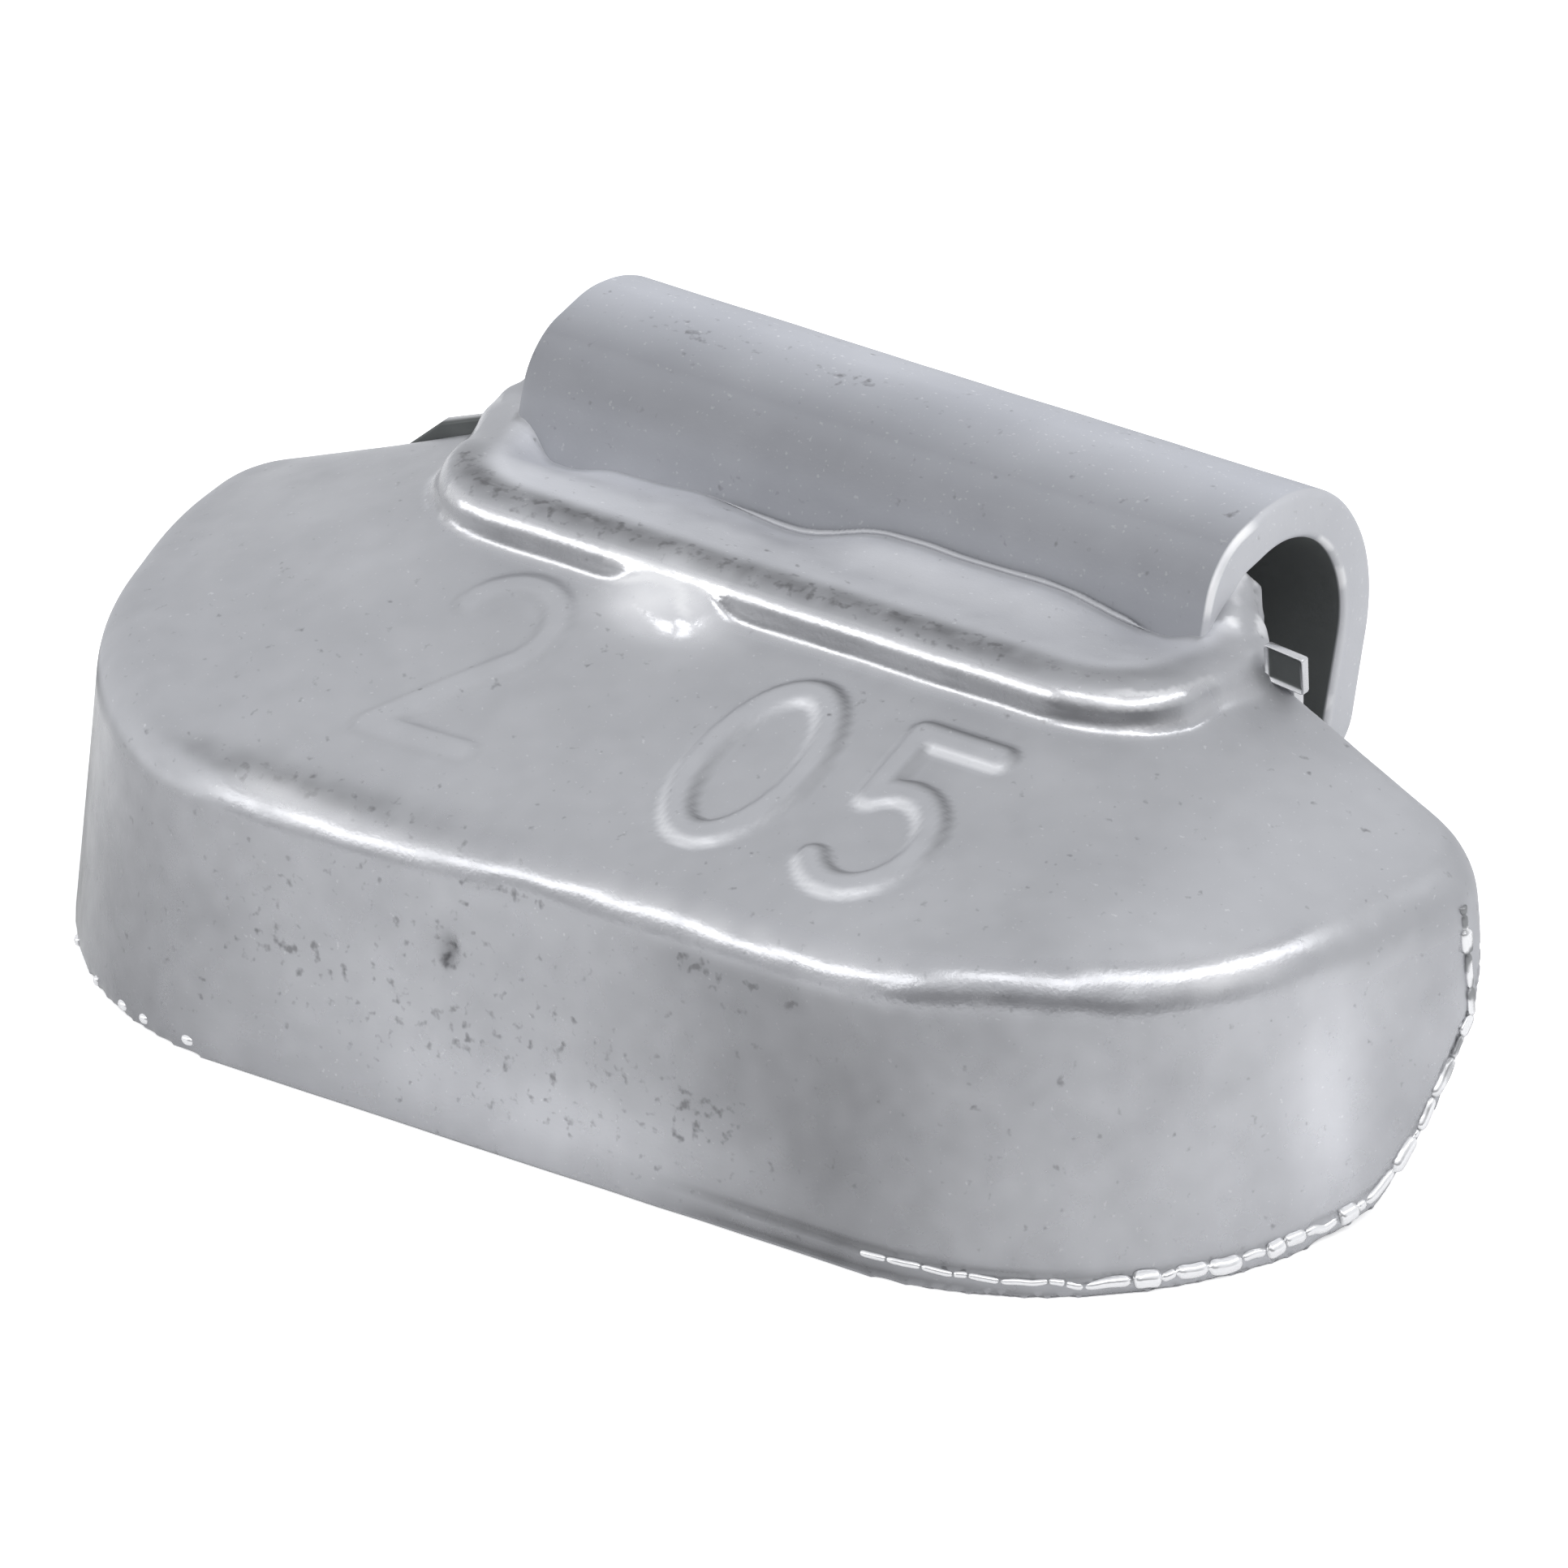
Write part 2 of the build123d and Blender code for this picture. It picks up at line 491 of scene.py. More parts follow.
@dataclass(frozen=True)
class PaleFloor:
    """A plain white studio floor that keeps a faint shadow."""

    name: str = "pale_floor"
    colour: tuple = (0.9, 0.9, 0.9, 1.0)
    glow: float = 0.5
    glossy_glow: float = 0.1

    def material(self) -> bpy.types.Material:
        """Returns the floor's material."""
        material = bpy.data.materials.new(self.name)
        material.use_nodes = True
        sheet = NodeSheet(material.node_tree)
        path = sheet.add("LightPath")
        mirrored = sheet.math("MAXIMUM", path.outputs["Is Glossy Ray"], path.outputs["Is Transmission Ray"])
        mirrored = sheet.math("MULTIPLY", mirrored, self.glossy_glow)
        seen = sheet.math("MULTIPLY", path.outputs["Is Camera Ray"], self.glow)
        matt = sheet.add("BsdfDiffuse", None, Color=self.colour)
        light = sheet.add("Emission", None, Strength=sheet.math("ADD", seen, mirrored))
        both = sheet.add("AddShader", None, in0=matt.outputs[0], in1=light.outputs[0])
        sheet.add("OutputMaterial", None, Surface=both.outputs[0])
        return material


@dataclass(frozen=True)
class Scuff:
    """A soiled scratch on the clip's crown: its middle, its half length and how dark it is. Millimetres."""

    x: float
    y: float
    reach: float
    dark: float


@dataclass
class RimClip:
    """The bent strip of spring steel: tang, root, shoulder, crown, hook and free leg. Millimetres."""

    rear: float = 5.9
    width: float = 11.1
    thickness: float = 0.65
    edge_round: float = 0.1
    root_inset: float = 0.51
    root_foot: float = 5.67
    root_lean: float = 74.0
    root_length: float = 0.83
    shoulder_radius: float = 0.75
    crown_rise: float = 10.0
    crown_length: float = 0.38
    hook_radius: float = 1.92
    leg_lean: float = 16.0
    leg_length: float = 2.3
    tip_corner: float = 1.2
    shift: float = -0.12
    tang_slope: float = 40.0
    tang_bend_radius: float = 1.4
    tang_length: float = 3.2
    step: float = 0.07
    across: int = 96
    scuffs: tuple = (
        Scuff(-3.9, 6.6, 0.5, 1.0),
        Scuff(-1.3, 6.75, 0.7, 0.85),
        Scuff(0.4, 6.5, 0.5, 0.6),
        Scuff(5.1, 6.4, 0.25, 1.0),
    )
    scuff_height: float = 6.4
    scuff_slimness: float = 0.25
    finish: SilverCoat = SilverCoat(
        name="silver_coat_on_steel",
        pale=(0.44, 0.45, 0.483),
        deep=(0.39, 0.4, 0.433),
        metallic=0.3,
        roughness=0.6,
        speck_start=0.68,
    )

    def run(self, start: np.ndarray, heading: float, moves: list) -> tuple:
        """Walks along straight runs and arcs.

        Args:
            start: First point in Y and Z.
            heading: First direction in degrees.
            moves: Pairs of (length, 0) for a run and (radius, turn in degrees) for an arc.

        Returns:
            The points after the start, and their headings in degrees.
        """
        here = np.array(start, float)
        points = []
        headings = []
        for size, turn in moves:
            length = size if turn == 0 else size * math.radians(abs(turn))
            count = max(2, round(length / self.step))
            for _ in range(count):
                middle = math.radians(heading + turn / count / 2)
                chord = length / count
                if turn:
                    chord = 2 * size * math.sin(math.radians(abs(turn)) / count / 2)
                here = here + chord * np.array([math.cos(middle), math.sin(middle)])
                heading += turn / count
                points.append(here)
                headings.append(heading)
        return points, headings

    def path(self) -> tuple:
        """Returns the strip's middle line in Y and Z, from tang to leg, and its headings."""
        start = np.array([self.rear - self.root_inset, self.root_foot])
        tang_turn = self.tang_slope - self.root_lean
        back, back_headings = self.run(
            start, self.root_lean + 180, [(self.tang_bend_radius, tang_turn), (self.tang_length, 0)]
        )
        front, front_headings = self.run(
            start,
            self.root_lean,
            [
                (self.root_length, 0),
                (self.shoulder_radius, self.crown_rise - self.root_lean),
                (self.crown_length, 0),
                (self.hook_radius, -(90 + self.leg_lean + self.crown_rise)),
                (self.leg_length, 0),
            ],
        )
        points = back[::-1] + [start] + front
        headings = [h - 180 for h in back_headings[::-1]] + [self.root_lean] + front_headings
        return np.array(points), np.array(headings)

    def section(self) -> np.ndarray:
        """Returns a flat rounded section: shares of the half width, and offsets from the two half sizes."""
        side = np.linspace(-1, 1, self.across)
        turn = np.linspace(0, math.pi / 2, 5)
        right_top = [(1, 1, math.sin(a), math.cos(a)) for a in turn]
        right_low = [(1, -1, math.cos(a), math.sin(a)) for a in turn]
        top = [(s, 1, 0, 1) for s in side[1:-1]]
        low = [(-s, -1, 0, 1) for s in side[1:-1]]
        left_low = [(-1, -1, math.sin(a), math.cos(a)) for a in turn]
        left_top = [(-1, 1, math.cos(a), math.sin(a)) for a in turn]
        return np.array(top + right_top + right_low + low + left_low + left_top)

    def build(self) -> bpy.types.Object:
        """Returns the clip's object, in metres."""
        line, headings = self.path()
        lengths = np.concatenate([[0], np.cumsum(np.linalg.norm(np.diff(line, axis=0), axis=1))])
        left = lengths[-1] - lengths
        section = self.section()
        rounds = self.edge_round
        rows = []
        for index, (place, heading) in enumerate(zip(line, headings)):
            angle = math.radians(heading)
            outward = np.array([-math.sin(angle), math.cos(angle)])
            near_tip = max(self.tip_corner - left[index], 0)
            half_width = self.width / 2 - (self.tip_corner - math.sqrt(self.tip_corner**2 - near_tip**2))
            near_end = max(rounds - left[index], 0)
            half_thick = self.thickness / 2 - (rounds - math.sqrt(rounds**2 - near_end**2))
            along = np.sign(section[:, 0]) * np.where(section[:, 2] > 0, rounds * section[:, 2], 0)
            flat = section[:, 0] * (half_width - rounds)
            height = section[:, 1] * (half_thick - rounds * (1 - section[:, 3]))
            spot = place[None, :] + height[:, None] * outward[None, :]
            rows.append(np.column_stack([flat + along + self.shift, spot]))
        points = np.array(rows)
        count = points.shape[1]
        faces = grid_faces(len(rows), count, closed=True)
        faces.append(tuple(range(count))[::-1])
        faces.append(tuple((len(rows) - 1) * count + i for i in range(count)))
        flat_points = points.reshape(-1, 3)
        piece = mesh_object("rim_clip_strip", flat_points, faces)
        self.wear(piece, lengths, section, count)
        return piece

    def wear(self, piece: bpy.types.Object, lengths: np.ndarray, section: np.ndarray, count: int) -> None:
        """Adds the small unevenness of the strip and keeps where it is scuffed and where its painted light,
        painted highlights and painted shade lie.

        Args:
            piece: The clip's object, in millimetres. It is in metres afterwards.
            lengths: Distance along the strip of each row.
            section: The section's points.
            count: Number of points in each row.
        """
        mesh = piece.data
        mesh.update()
        points = mesh_points(mesh)
        swell = 0.012 * cell_noise(points, 1.7, 3) + 0.005 * cell_noise(points, 0.5, 4)
        points = inside_box(points + mesh_normals(mesh) * swell[:, None])
        set_points(mesh, points)
        x, y, z = points.T
        _, face, side_turn, face_turn = np.tile(section, (len(lengths), 1)).T
        on_side = side_turn > 0.3
        on_corner = on_side & (face_turn > 0.3)

        # Scuffs on the crown, and the hook's inner face in the dark
        grime = np.zeros(len(points))
        for scuff in self.scuffs:
            away = np.hypot((x - scuff.x) / scuff.reach, (y - scuff.y) / (self.scuff_slimness * scuff.reach))
            grime += scuff.dark * np.exp(-(away**2)) * (z > self.scuff_height)
        past_root = np.repeat(lengths, count) > self.tang_length + self.tang_bend_radius
        shade = np.where((face < 0) & (side_turn < 0.1) & past_root, 1.0, 0.0)

        # Painted light: darker up the root and the shoulder, paler towards the top of the crown and darker
        # where it turns into the hook, paler on the right side's edges, with some random mottling
        crown_tone = 0.66 + 0.6 * np.clip((y - 5.8) / 1.4, 0, 1) - 0.24 * ease(y, 7.5, 8.4)
        root_tone = 0.63 + 0.17 * fade(z, 6.45, 6.85) + 0.08 * ease(z, 6.95, 7.2)
        on_root = (y < 5.83) & (z < 7.21)
        tone = np.where(on_root, root_tone, crown_tone) + 0.03 * cell_noise(points, 1.3, 5)
        tone = np.where(on_side & (x > 0), 1.05, tone)

        # Painted highlights on the right side: along its edges, and stronger on its outer corner by the
        # shoulder and its inner corner round the hook
        front_edge_highlight = on_corner * (face > 0) * ease(z, 6.2, 6.5) * fade(y, 6.1, 6.7)
        front_edge_highlight *= 0.85 + 0.5 * cell_noise(points, 0.3, 7)
        highlight_breaks = 0.5 + 0.5 * ease(cell_noise(points, 0.35, 6), 0.1, 0.4)
        hook_edge_highlight = on_corner * (face < 0) * ease(y, 7.6, 8.0) * highlight_breaks
        burr = np.maximum(0.3 * on_side, 0.9 * np.maximum(front_edge_highlight, hook_edge_highlight)) * (x > 0)
        keep_marks(mesh, grime=grime, shade=shade, tone=tone, burr=burr)

    def dress(self, piece: bpy.types.Object) -> None:
        """Gives the clip its finish and its place in the part."""
        piece.data.materials.append(self.finish.material())
        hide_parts("rim_clip")
        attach(piece, "root")


@dataclass
class CastBody:
    """The zinc casting: drafted wall, hipped top, raised pad, seat, curled back, collar and gussets.

    All sizes are in millimetres.
    """

    length: float = 21.2
    depth: float = 8.5
    end_slant: float = 12.0
    corner_radius: float = 5.0
    rear_bow: float = 0.6
    rear_corner: float = 1.0
    rear_blend: float = 0.7
    foot_rear_corner: float = 0.7
    end_bulge: float = 0.25
    foot_bulge: float = 0.1
    edge_height: float = 4.3
    draft_angle: float = 5.0
    edge_round: float = 0.85
    seat_depth: float = 5.2
    back_radius: float = 12.0
    back_softness: float = 0.4
    back_soft_start: float = 1.2
    back_soft_end: float = 1.5
    back_height: float = 4.6
    pad_length: float = 12.9
    pad_depth: float = 3.15
    pad_corner: float = 2.2
    pad_rear_corner: float = 0.4
    pad_foot: float = 5.67
    pad_rise: float = 0.66
    pad_draft: float = 8.0
    pad_fall: float = 6.0
    pad_round: float = 0.58
    pad_crown_inset: float = 0.7
    crease_round: float = 0.2
    collar_thickness: float = 0.8
    collar_neck_reach: float = 0.15
    collar_neck_rise: float = 0.6
    collar_shoulder: float = 6.3
    collar_low: float = 5.4
    collar_foot: float = 4.2
    collar_foot_inset: float = 0.6
    gusset_foot: float = 6.0
    left_gusset_lift: float = 0.16
    blob_x: float = -1.45
    blob_ahead: float = 0.1
    blob_drop: float = 0.03
    bead_lift: float = 0.32
    bead_fall: float = 0.12
    voxel: float = 0.083
    front_steps: int = 40
    corner_steps: int = 48
    end_steps: int = 24
    rear_corner_steps: int = 14
    rear_steps: int = 48
    round_steps: int = 13
    crease_steps: int = 9
    crease_share: float = 0.24
    rim_share: float = 0.72
    trim_passes: int = 30
    clip: RimClip = field(default_factory=RimClip)
    finish: SilverCoat = SilverCoat(name="silver_coat_on_zinc")

    @property
    def front_y(self) -> float:
        """Y of the front foot."""
        return -self.seat_depth / 2

    @property
    def rear_y(self) -> float:
        """Y of the rear at its middle."""
        return self.front_y + self.depth

    @property
    def pad_front_y(self) -> float:
        """Y of the pad's front foot."""
        return self.rear_y - self.pad_depth

    @property
    def pad_taper(self) -> float:
        """How far the pad's drafted wall leans in over its whole rise."""
        return self.pad_rise * math.tan(math.radians(self.pad_draft))

    @property
    def root_angle(self) -> float:
        """Lean of the strip's root, in radians."""
        return math.radians(self.clip.root_lean)

    @property
    def blob_place(self) -> np.ndarray:
        """Middle of the blob of metal on the pad's crease."""
        return np.array([self.blob_x, self.pad_front_y - self.blob_ahead, self.pad_foot - self.blob_drop])

    def rear_line(self, x: np.ndarray) -> np.ndarray:
        """Returns Y of the bowed rear at each X."""
        return self.rear_y - self.rear_bow * (x / (self.length / 2)) ** 2

    def back_line(self, y: np.ndarray) -> np.ndarray:
        """Returns the height of the underside at each Y: the flat seat, then the curl of the back."""
        start = np.array([self.front_y + self.seat_depth, 0.0])
        end = np.array([self.rear_y, self.back_height])
        chord = end - start
        length = np.linalg.norm(chord)
        aside = np.array([-chord[1], chord[0]]) / length
        centre = (start + end) / 2 + aside * math.sqrt(self.back_radius**2 - (length / 2) ** 2)
        reach = np.clip(self.back_radius**2 - (y - centre[0]) ** 2, 0, None)
        rise = centre[1] - np.sqrt(reach)
        slope = math.tan(math.asin((start[0] - centre[0]) / self.back_radius))
        rise = np.where(y > start[0], rise, (y - start[0]) * slope)
        soft = np.where(y < self.rear_y - self.back_soft_end, self.back_softness, 0.0)
        curled = y > start[0] - self.back_soft_start
        return np.where(curled, (rise + np.sqrt(rise**2 + soft**2)) / 2, 0.0)

    def pad_plane(self, y: np.ndarray) -> np.ndarray:
        """Returns the height of the pad's falling top at each Y."""
        return self.pad_foot + self.pad_rise - (y - self.pad_front_y) * math.tan(math.radians(self.pad_fall))

    def bank_height(self, x: np.ndarray) -> np.ndarray:
        """Returns how far the pad's top stands above its plane where it meets the strip, at each X."""
        spots = np.column_stack([x, np.zeros(len(x)), np.zeros(len(x))])
        rise = -0.17 + 0.05 * bell(x, -2.4, 0.8) + 0.32 * ease(x, -1.0, 0.5)
        rise = rise - 0.2 * ease(x, 3.2, 4.7) - 0.15 * ease(-x, 3.9, 4.7) + 0.15 * ease(-x, 4.9, 5.4)
        return rise + 0.02 * cell_noise(spots, 0.7, 12)

    def edge_lift(self, x: np.ndarray) -> np.ndarray:
        """Returns how far the front edge of the top stands above its plain height, at each X."""
        sag = ease(-x, -0.5, 3.5) * fade(-x, 6.5, 8.5)
        return 0.28 * bell(x, 6.8, 1.7) - 0.25 * sag

    def bead_height(self, x: np.ndarray) -> np.ndarray:
        """Returns how far the bead chain lies above the foot at each X."""
        return self.bead_lift - self.bead_fall * ease(x, 5.5, 8.5)

    def strip_face(self, z: np.ndarray) -> np.ndarray:
        """Returns Y of the front face of the strip's root at each height."""
        foot = self.rear_y - self.clip.root_inset - 0.5 * self.clip.thickness / math.sin(self.root_angle)
        return foot + (z - self.pad_foot) / math.tan(self.root_angle)

    def outline(
        self,
        length: float,
        front: float,
        corner: float,
        rear_corner: float,
        inset: float = 0,
        bulge: float = 0,
    ) -> np.ndarray:
        """The right half of a long D, from the middle of its front to the middle of its rear.

        Args:
            length: Length at the rear.
            front: Y of the straight front.
            corner: Radius of the front corner.
            rear_corner: Radius of the rear corner.
            inset: How far the rear stands ahead of the bowed rear line.
            bulge: How far the slanted ends swell outwards.

        Returns:
            Rows of X and Y.
        """
        slope = math.tan(math.radians(self.end_slant))
        half = length / 2
        front_x = half - (self.rear_y - front) * slope
        rear_y = self.rear_y
        # The rear corner lies where the slanted end meets the bowed rear
        for _ in range(6):
            rear_x = half - (self.rear_y - rear_y) * slope
            rear_y = self.rear_line(np.array(rear_x)) - inset
        inner_x = self.rear_blend * rear_x
        front_middle = np.array([[0.0, front]])
        front_end = np.array([[front_x, front]])
        rear_end = np.array([[rear_x, rear_y]])
        rear_inner = np.array([[inner_x, self.rear_line(np.array(inner_x)) - inset]])
        corner_arc = round_corner(front_middle, front_end, rear_end, corner, self.corner_steps)[:, 0]
        rear_arc = round_corner(front_end, rear_end, rear_inner, rear_corner, self.rear_corner_steps)[:, 0]
        front_run = np.linspace(front_middle[0], corner_arc[0], self.front_steps, endpoint=False)
        end_run = np.linspace(corner_arc[-1], rear_arc[0], self.end_steps + 2)[1:-1]
        rear_x_run = np.linspace(rear_arc[-1, 0], 0, self.rear_steps)[1:]
        blend = ease(rear_x_run, inner_x, rear_arc[-1, 0])
        rear_y_run = self.rear_line(rear_x_run) - inset
        rear_y_run = rear_y_run + blend * (rear_arc[-1, 1] - self.rear_line(rear_arc[-1, 0]) + inset)
        rear_run = np.column_stack([rear_x_run, rear_y_run])
        line = np.concatenate([front_run, corner_arc, end_run, rear_arc, rear_run])
        share = np.clip((line[:, 1] - front - 1) / (self.rear_y - front - 1), 0, 1)
        line[:, 0] += bulge * np.sin(math.pi * share) ** 2
        return line

    def pad_outline(self, inward: float, rear_inset: float = 0) -> np.ndarray:
        """Returns the right half of the pad's outline, moved inward from its foot."""
        length = self.pad_length - 2 * inward
        corner = self.pad_corner - inward
        return self.outline(length, self.pad_front_y + inward, corner, self.pad_rear_corner, rear_inset)

    def rows(self) -> np.ndarray:
        """Returns rows of points of the right half, from the underside's edge to the pad's top."""
        draft = self.edge_height * math.tan(math.radians(self.draft_angle))
        foot = self.outline(
            self.length, self.front_y, self.corner_radius, self.foot_rear_corner, bulge=self.foot_bulge
        )
        edge = self.outline(
            self.length - 2 * draft,
            self.front_y + draft,
            self.corner_radius - draft,
            self.rear_corner,
            bulge=self.end_bulge,
        )
        foot = lift(foot, 0)
        edge = lift(edge, self.edge_height)
        pad = lift(self.pad_outline(0), self.pad_foot)
        top = lift(self.pad_outline(self.pad_taper), self.pad_foot + self.pad_rise)
        fall = math.tan(math.radians(self.pad_fall))
        rise = top - pad
        share = (self.pad_rise - (pad[:, 1] - self.pad_front_y) * fall) / (self.pad_rise + rise[:, 1] * fall)
        rim = pad + rise * share[:, None]
        inner = self.pad_outline(self.pad_crown_inset, self.pad_crown_inset)
        crown = np.column_stack([inner, self.pad_plane(inner[:, 1])])
        edge_rows = round_corner(foot, edge, pad, self.edge_round, self.round_steps)
        crease_rows = round_corner(edge, pad, rim, self.crease_round, self.crease_steps, self.crease_share)
        rim_rows = round_corner(pad, rim, crown, self.pad_round, self.round_steps, self.rim_share)
        return np.concatenate([foot[None], edge_rows, crease_rows, rim_rows, crown[None]])

    def trimmed_rows(self) -> np.ndarray:
        """Returns the rows with the lower ends of their columns lifted onto the curled back."""
        rows = self.rows()
        for column in range(rows.shape[1]):
            line = rows[:, column]
            height = 0.0
            for _ in range(self.trim_passes):
                y = np.interp(height, line[:, 2], line[:, 1])
                height = 0.5 * height + 0.5 * float(self.back_line(np.array(y)))
            low = line[:, 2] < height
            if low.any():
                x = np.interp(height, line[:, 2], line[:, 0])
                y = np.interp(height, line[:, 2], line[:, 1])
                rows[low, column] = (x, y, height)
        return rows

    def shell(self) -> bpy.types.Object:
        """Returns the closed shell of the casting without its collar, blob and gussets."""
        half = self.trimmed_rows()
        mirrored = half[:, -2:0:-1] * np.array([-1, 1, 1])
        loop = np.concatenate([half, mirrored], axis=1)
        count = loop.shape[1]
        points = [loop.reshape(-1, 3)]
        faces = grid_faces(loop.shape[0], count, closed=True)
        # Two caps close the underside and the pad's top
        across = np.linspace(1, -1, 2 * self.front_steps + 1)
        total = loop.shape[0] * count
        for row, flip in ((half[0], False), (half[-1], True)):
            edge = row[self.front_steps :]
            cap = np.repeat(edge[:, None, :], len(across), axis=1)
            cap[:, :, 0] = edge[:, None, 0] * across[None, :]
            points.append(cap.reshape(-1, 3))
            quads = grid_faces(len(edge), len(across), start=total)
            faces += [q[::-1] for q in quads] if flip else quads
            total += cap.shape[0] * cap.shape[1]
        return mesh_object("casting_shell", np.concatenate(points), faces)

    def collar(self) -> bpy.types.Object:
        """Returns the collar of cast metal behind the strip's root."""
        line, _ = self.clip.path()
        bend_start = round(self.clip.tang_length / self.clip.step)
        root_y = self.rear_y - self.clip.root_inset
        root_top = (
            root_y + self.clip.root_length * math.cos(self.root_angle),
            self.pad_foot + self.clip.root_length * math.sin(self.root_angle),
        )
        collar_rear = self.rear_y + self.collar_thickness
        outline = [
            tuple(line[bend_start]),
            (root_y, self.pad_foot),
            root_top,
            (self.rear_y + self.collar_neck_reach, self.collar_shoulder + self.collar_neck_rise),
            (collar_rear, self.collar_shoulder),
            (collar_rear, self.collar_low),
            (self.rear_y - self.collar_foot_inset, self.collar_foot),
        ]
        half = self.clip.width / 2
        return prism("casting_collar", outline, 0, self.clip.shift - half, self.clip.shift + half)

    def blob(self) -> bpy.types.Object:
        """Returns the blob of metal on the pad's crease."""
        x, y, z = self.blob_place
        balls = [
            ((x - 0.32, y + 0.1, z + 0.02), (0.5, 0.34, 0.26)),
            ((x + 0.28, y - 0.04, z - 0.02), (0.5, 0.42, 0.3)),
        ]
        return lump("casting_blob", balls)

    def web(self, side: int) -> bpy.types.Object:
        """Returns the gusset of cast metal up the right (1) or left (-1) edge of the strip."""
        edge = self.clip.shift + side * self.clip.width / 2
        rise = 0.0 if side > 0 else self.left_gusset_lift
        balls = [
            ((edge - side * 0.02, self.rear_y - 0.02, self.gusset_foot + 0.2 + rise), (0.28, 0.5, 0.32)),
            ((edge + side * 0.2, self.rear_y - 0.35, self.gusset_foot - 0.25 + rise), (0.58, 0.6, 0.4)),
        ]
        return lump("casting_gusset", balls)

    def build(self) -> bpy.types.Object:
        """Returns the casting's object as one plain skin, in millimetres."""
        joined = bmesh.new()
        for piece in (self.shell(), self.collar(), self.blob(), self.web(1), self.web(-1)):
            joined.from_mesh(piece.data)
            bpy.data.objects.remove(piece)
        bmesh.ops.remove_doubles(joined, verts=joined.verts, dist=1e-4)
        bmesh.ops.recalc_face_normals(joined, faces=joined.faces)
        rough = bmesh_object("casting_rough", joined)
        remesh = rough.modifiers.new("one_skin", "REMESH")
        remesh.mode = "VOXEL"
        remesh.voxel_size = self.voxel
        view = bpy.context.evaluated_depsgraph_get()
        skin = bpy.data.meshes.new_from_object(rough.evaluated_get(view))
        bpy.data.objects.remove(rough)
        skin.name = "weight_casting"
        casting = bpy.data.objects.new("weight_casting", skin)
        bpy.context.scene.collection.objects.link(casting)
        self.soften(skin)
        return casting

    def soften(self, mesh: bpy.types.Mesh) -> None:
        """Takes the edge off the whole casting, and flows the gussets and the blob into the pad."""
        edges = np.empty(len(mesh.edges) * 2, dtype=np.int32)
        mesh.edges.foreach_get("vertices", edges)
        edges = edges.reshape(-1, 2)
        points = relax(mesh_points(mesh), edges, 0.5, 4)
        # Longer passes round the gussets, then round the blob
        near = np.zeros(len(points))
        for side in (1, -1):
            web_x = self.clip.shift + side * (self.clip.width / 2 + 0.4)
            middle = np.array([web_x, self.rear_y - 0.3, self.gusset_foot])
            away = np.linalg.norm((points - middle) / np.array([1.3, 1.3, 1.1]), axis=1)
            near += fade(away, 0.6, 1.0) * ease(points[:, 2], 5.6, 5.85)
        points = relax(points, edges, 0.6 * near, 40)
        away = np.linalg.norm((points - self.blob_place) / np.array([1.1, 0.65, 0.3]), axis=1)
        points = relax(points, edges, 0.5 * fade(away, 0.7, 1.1), 12)
        mesh.vertices.foreach_set("co", points.ravel())
        mesh.update()

    def dress(self, piece: bpy.types.Object, trims: list) -> None:
        """Gives the casting and its trims (lip, bead and ridge) their finish and their place in the part."""
        material = self.finish.material()
        for thing in [piece] + trims:
            thing.data.materials.clear()
            thing.data.materials.append(material)
            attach(thing, "root")
        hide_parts("weight_body")


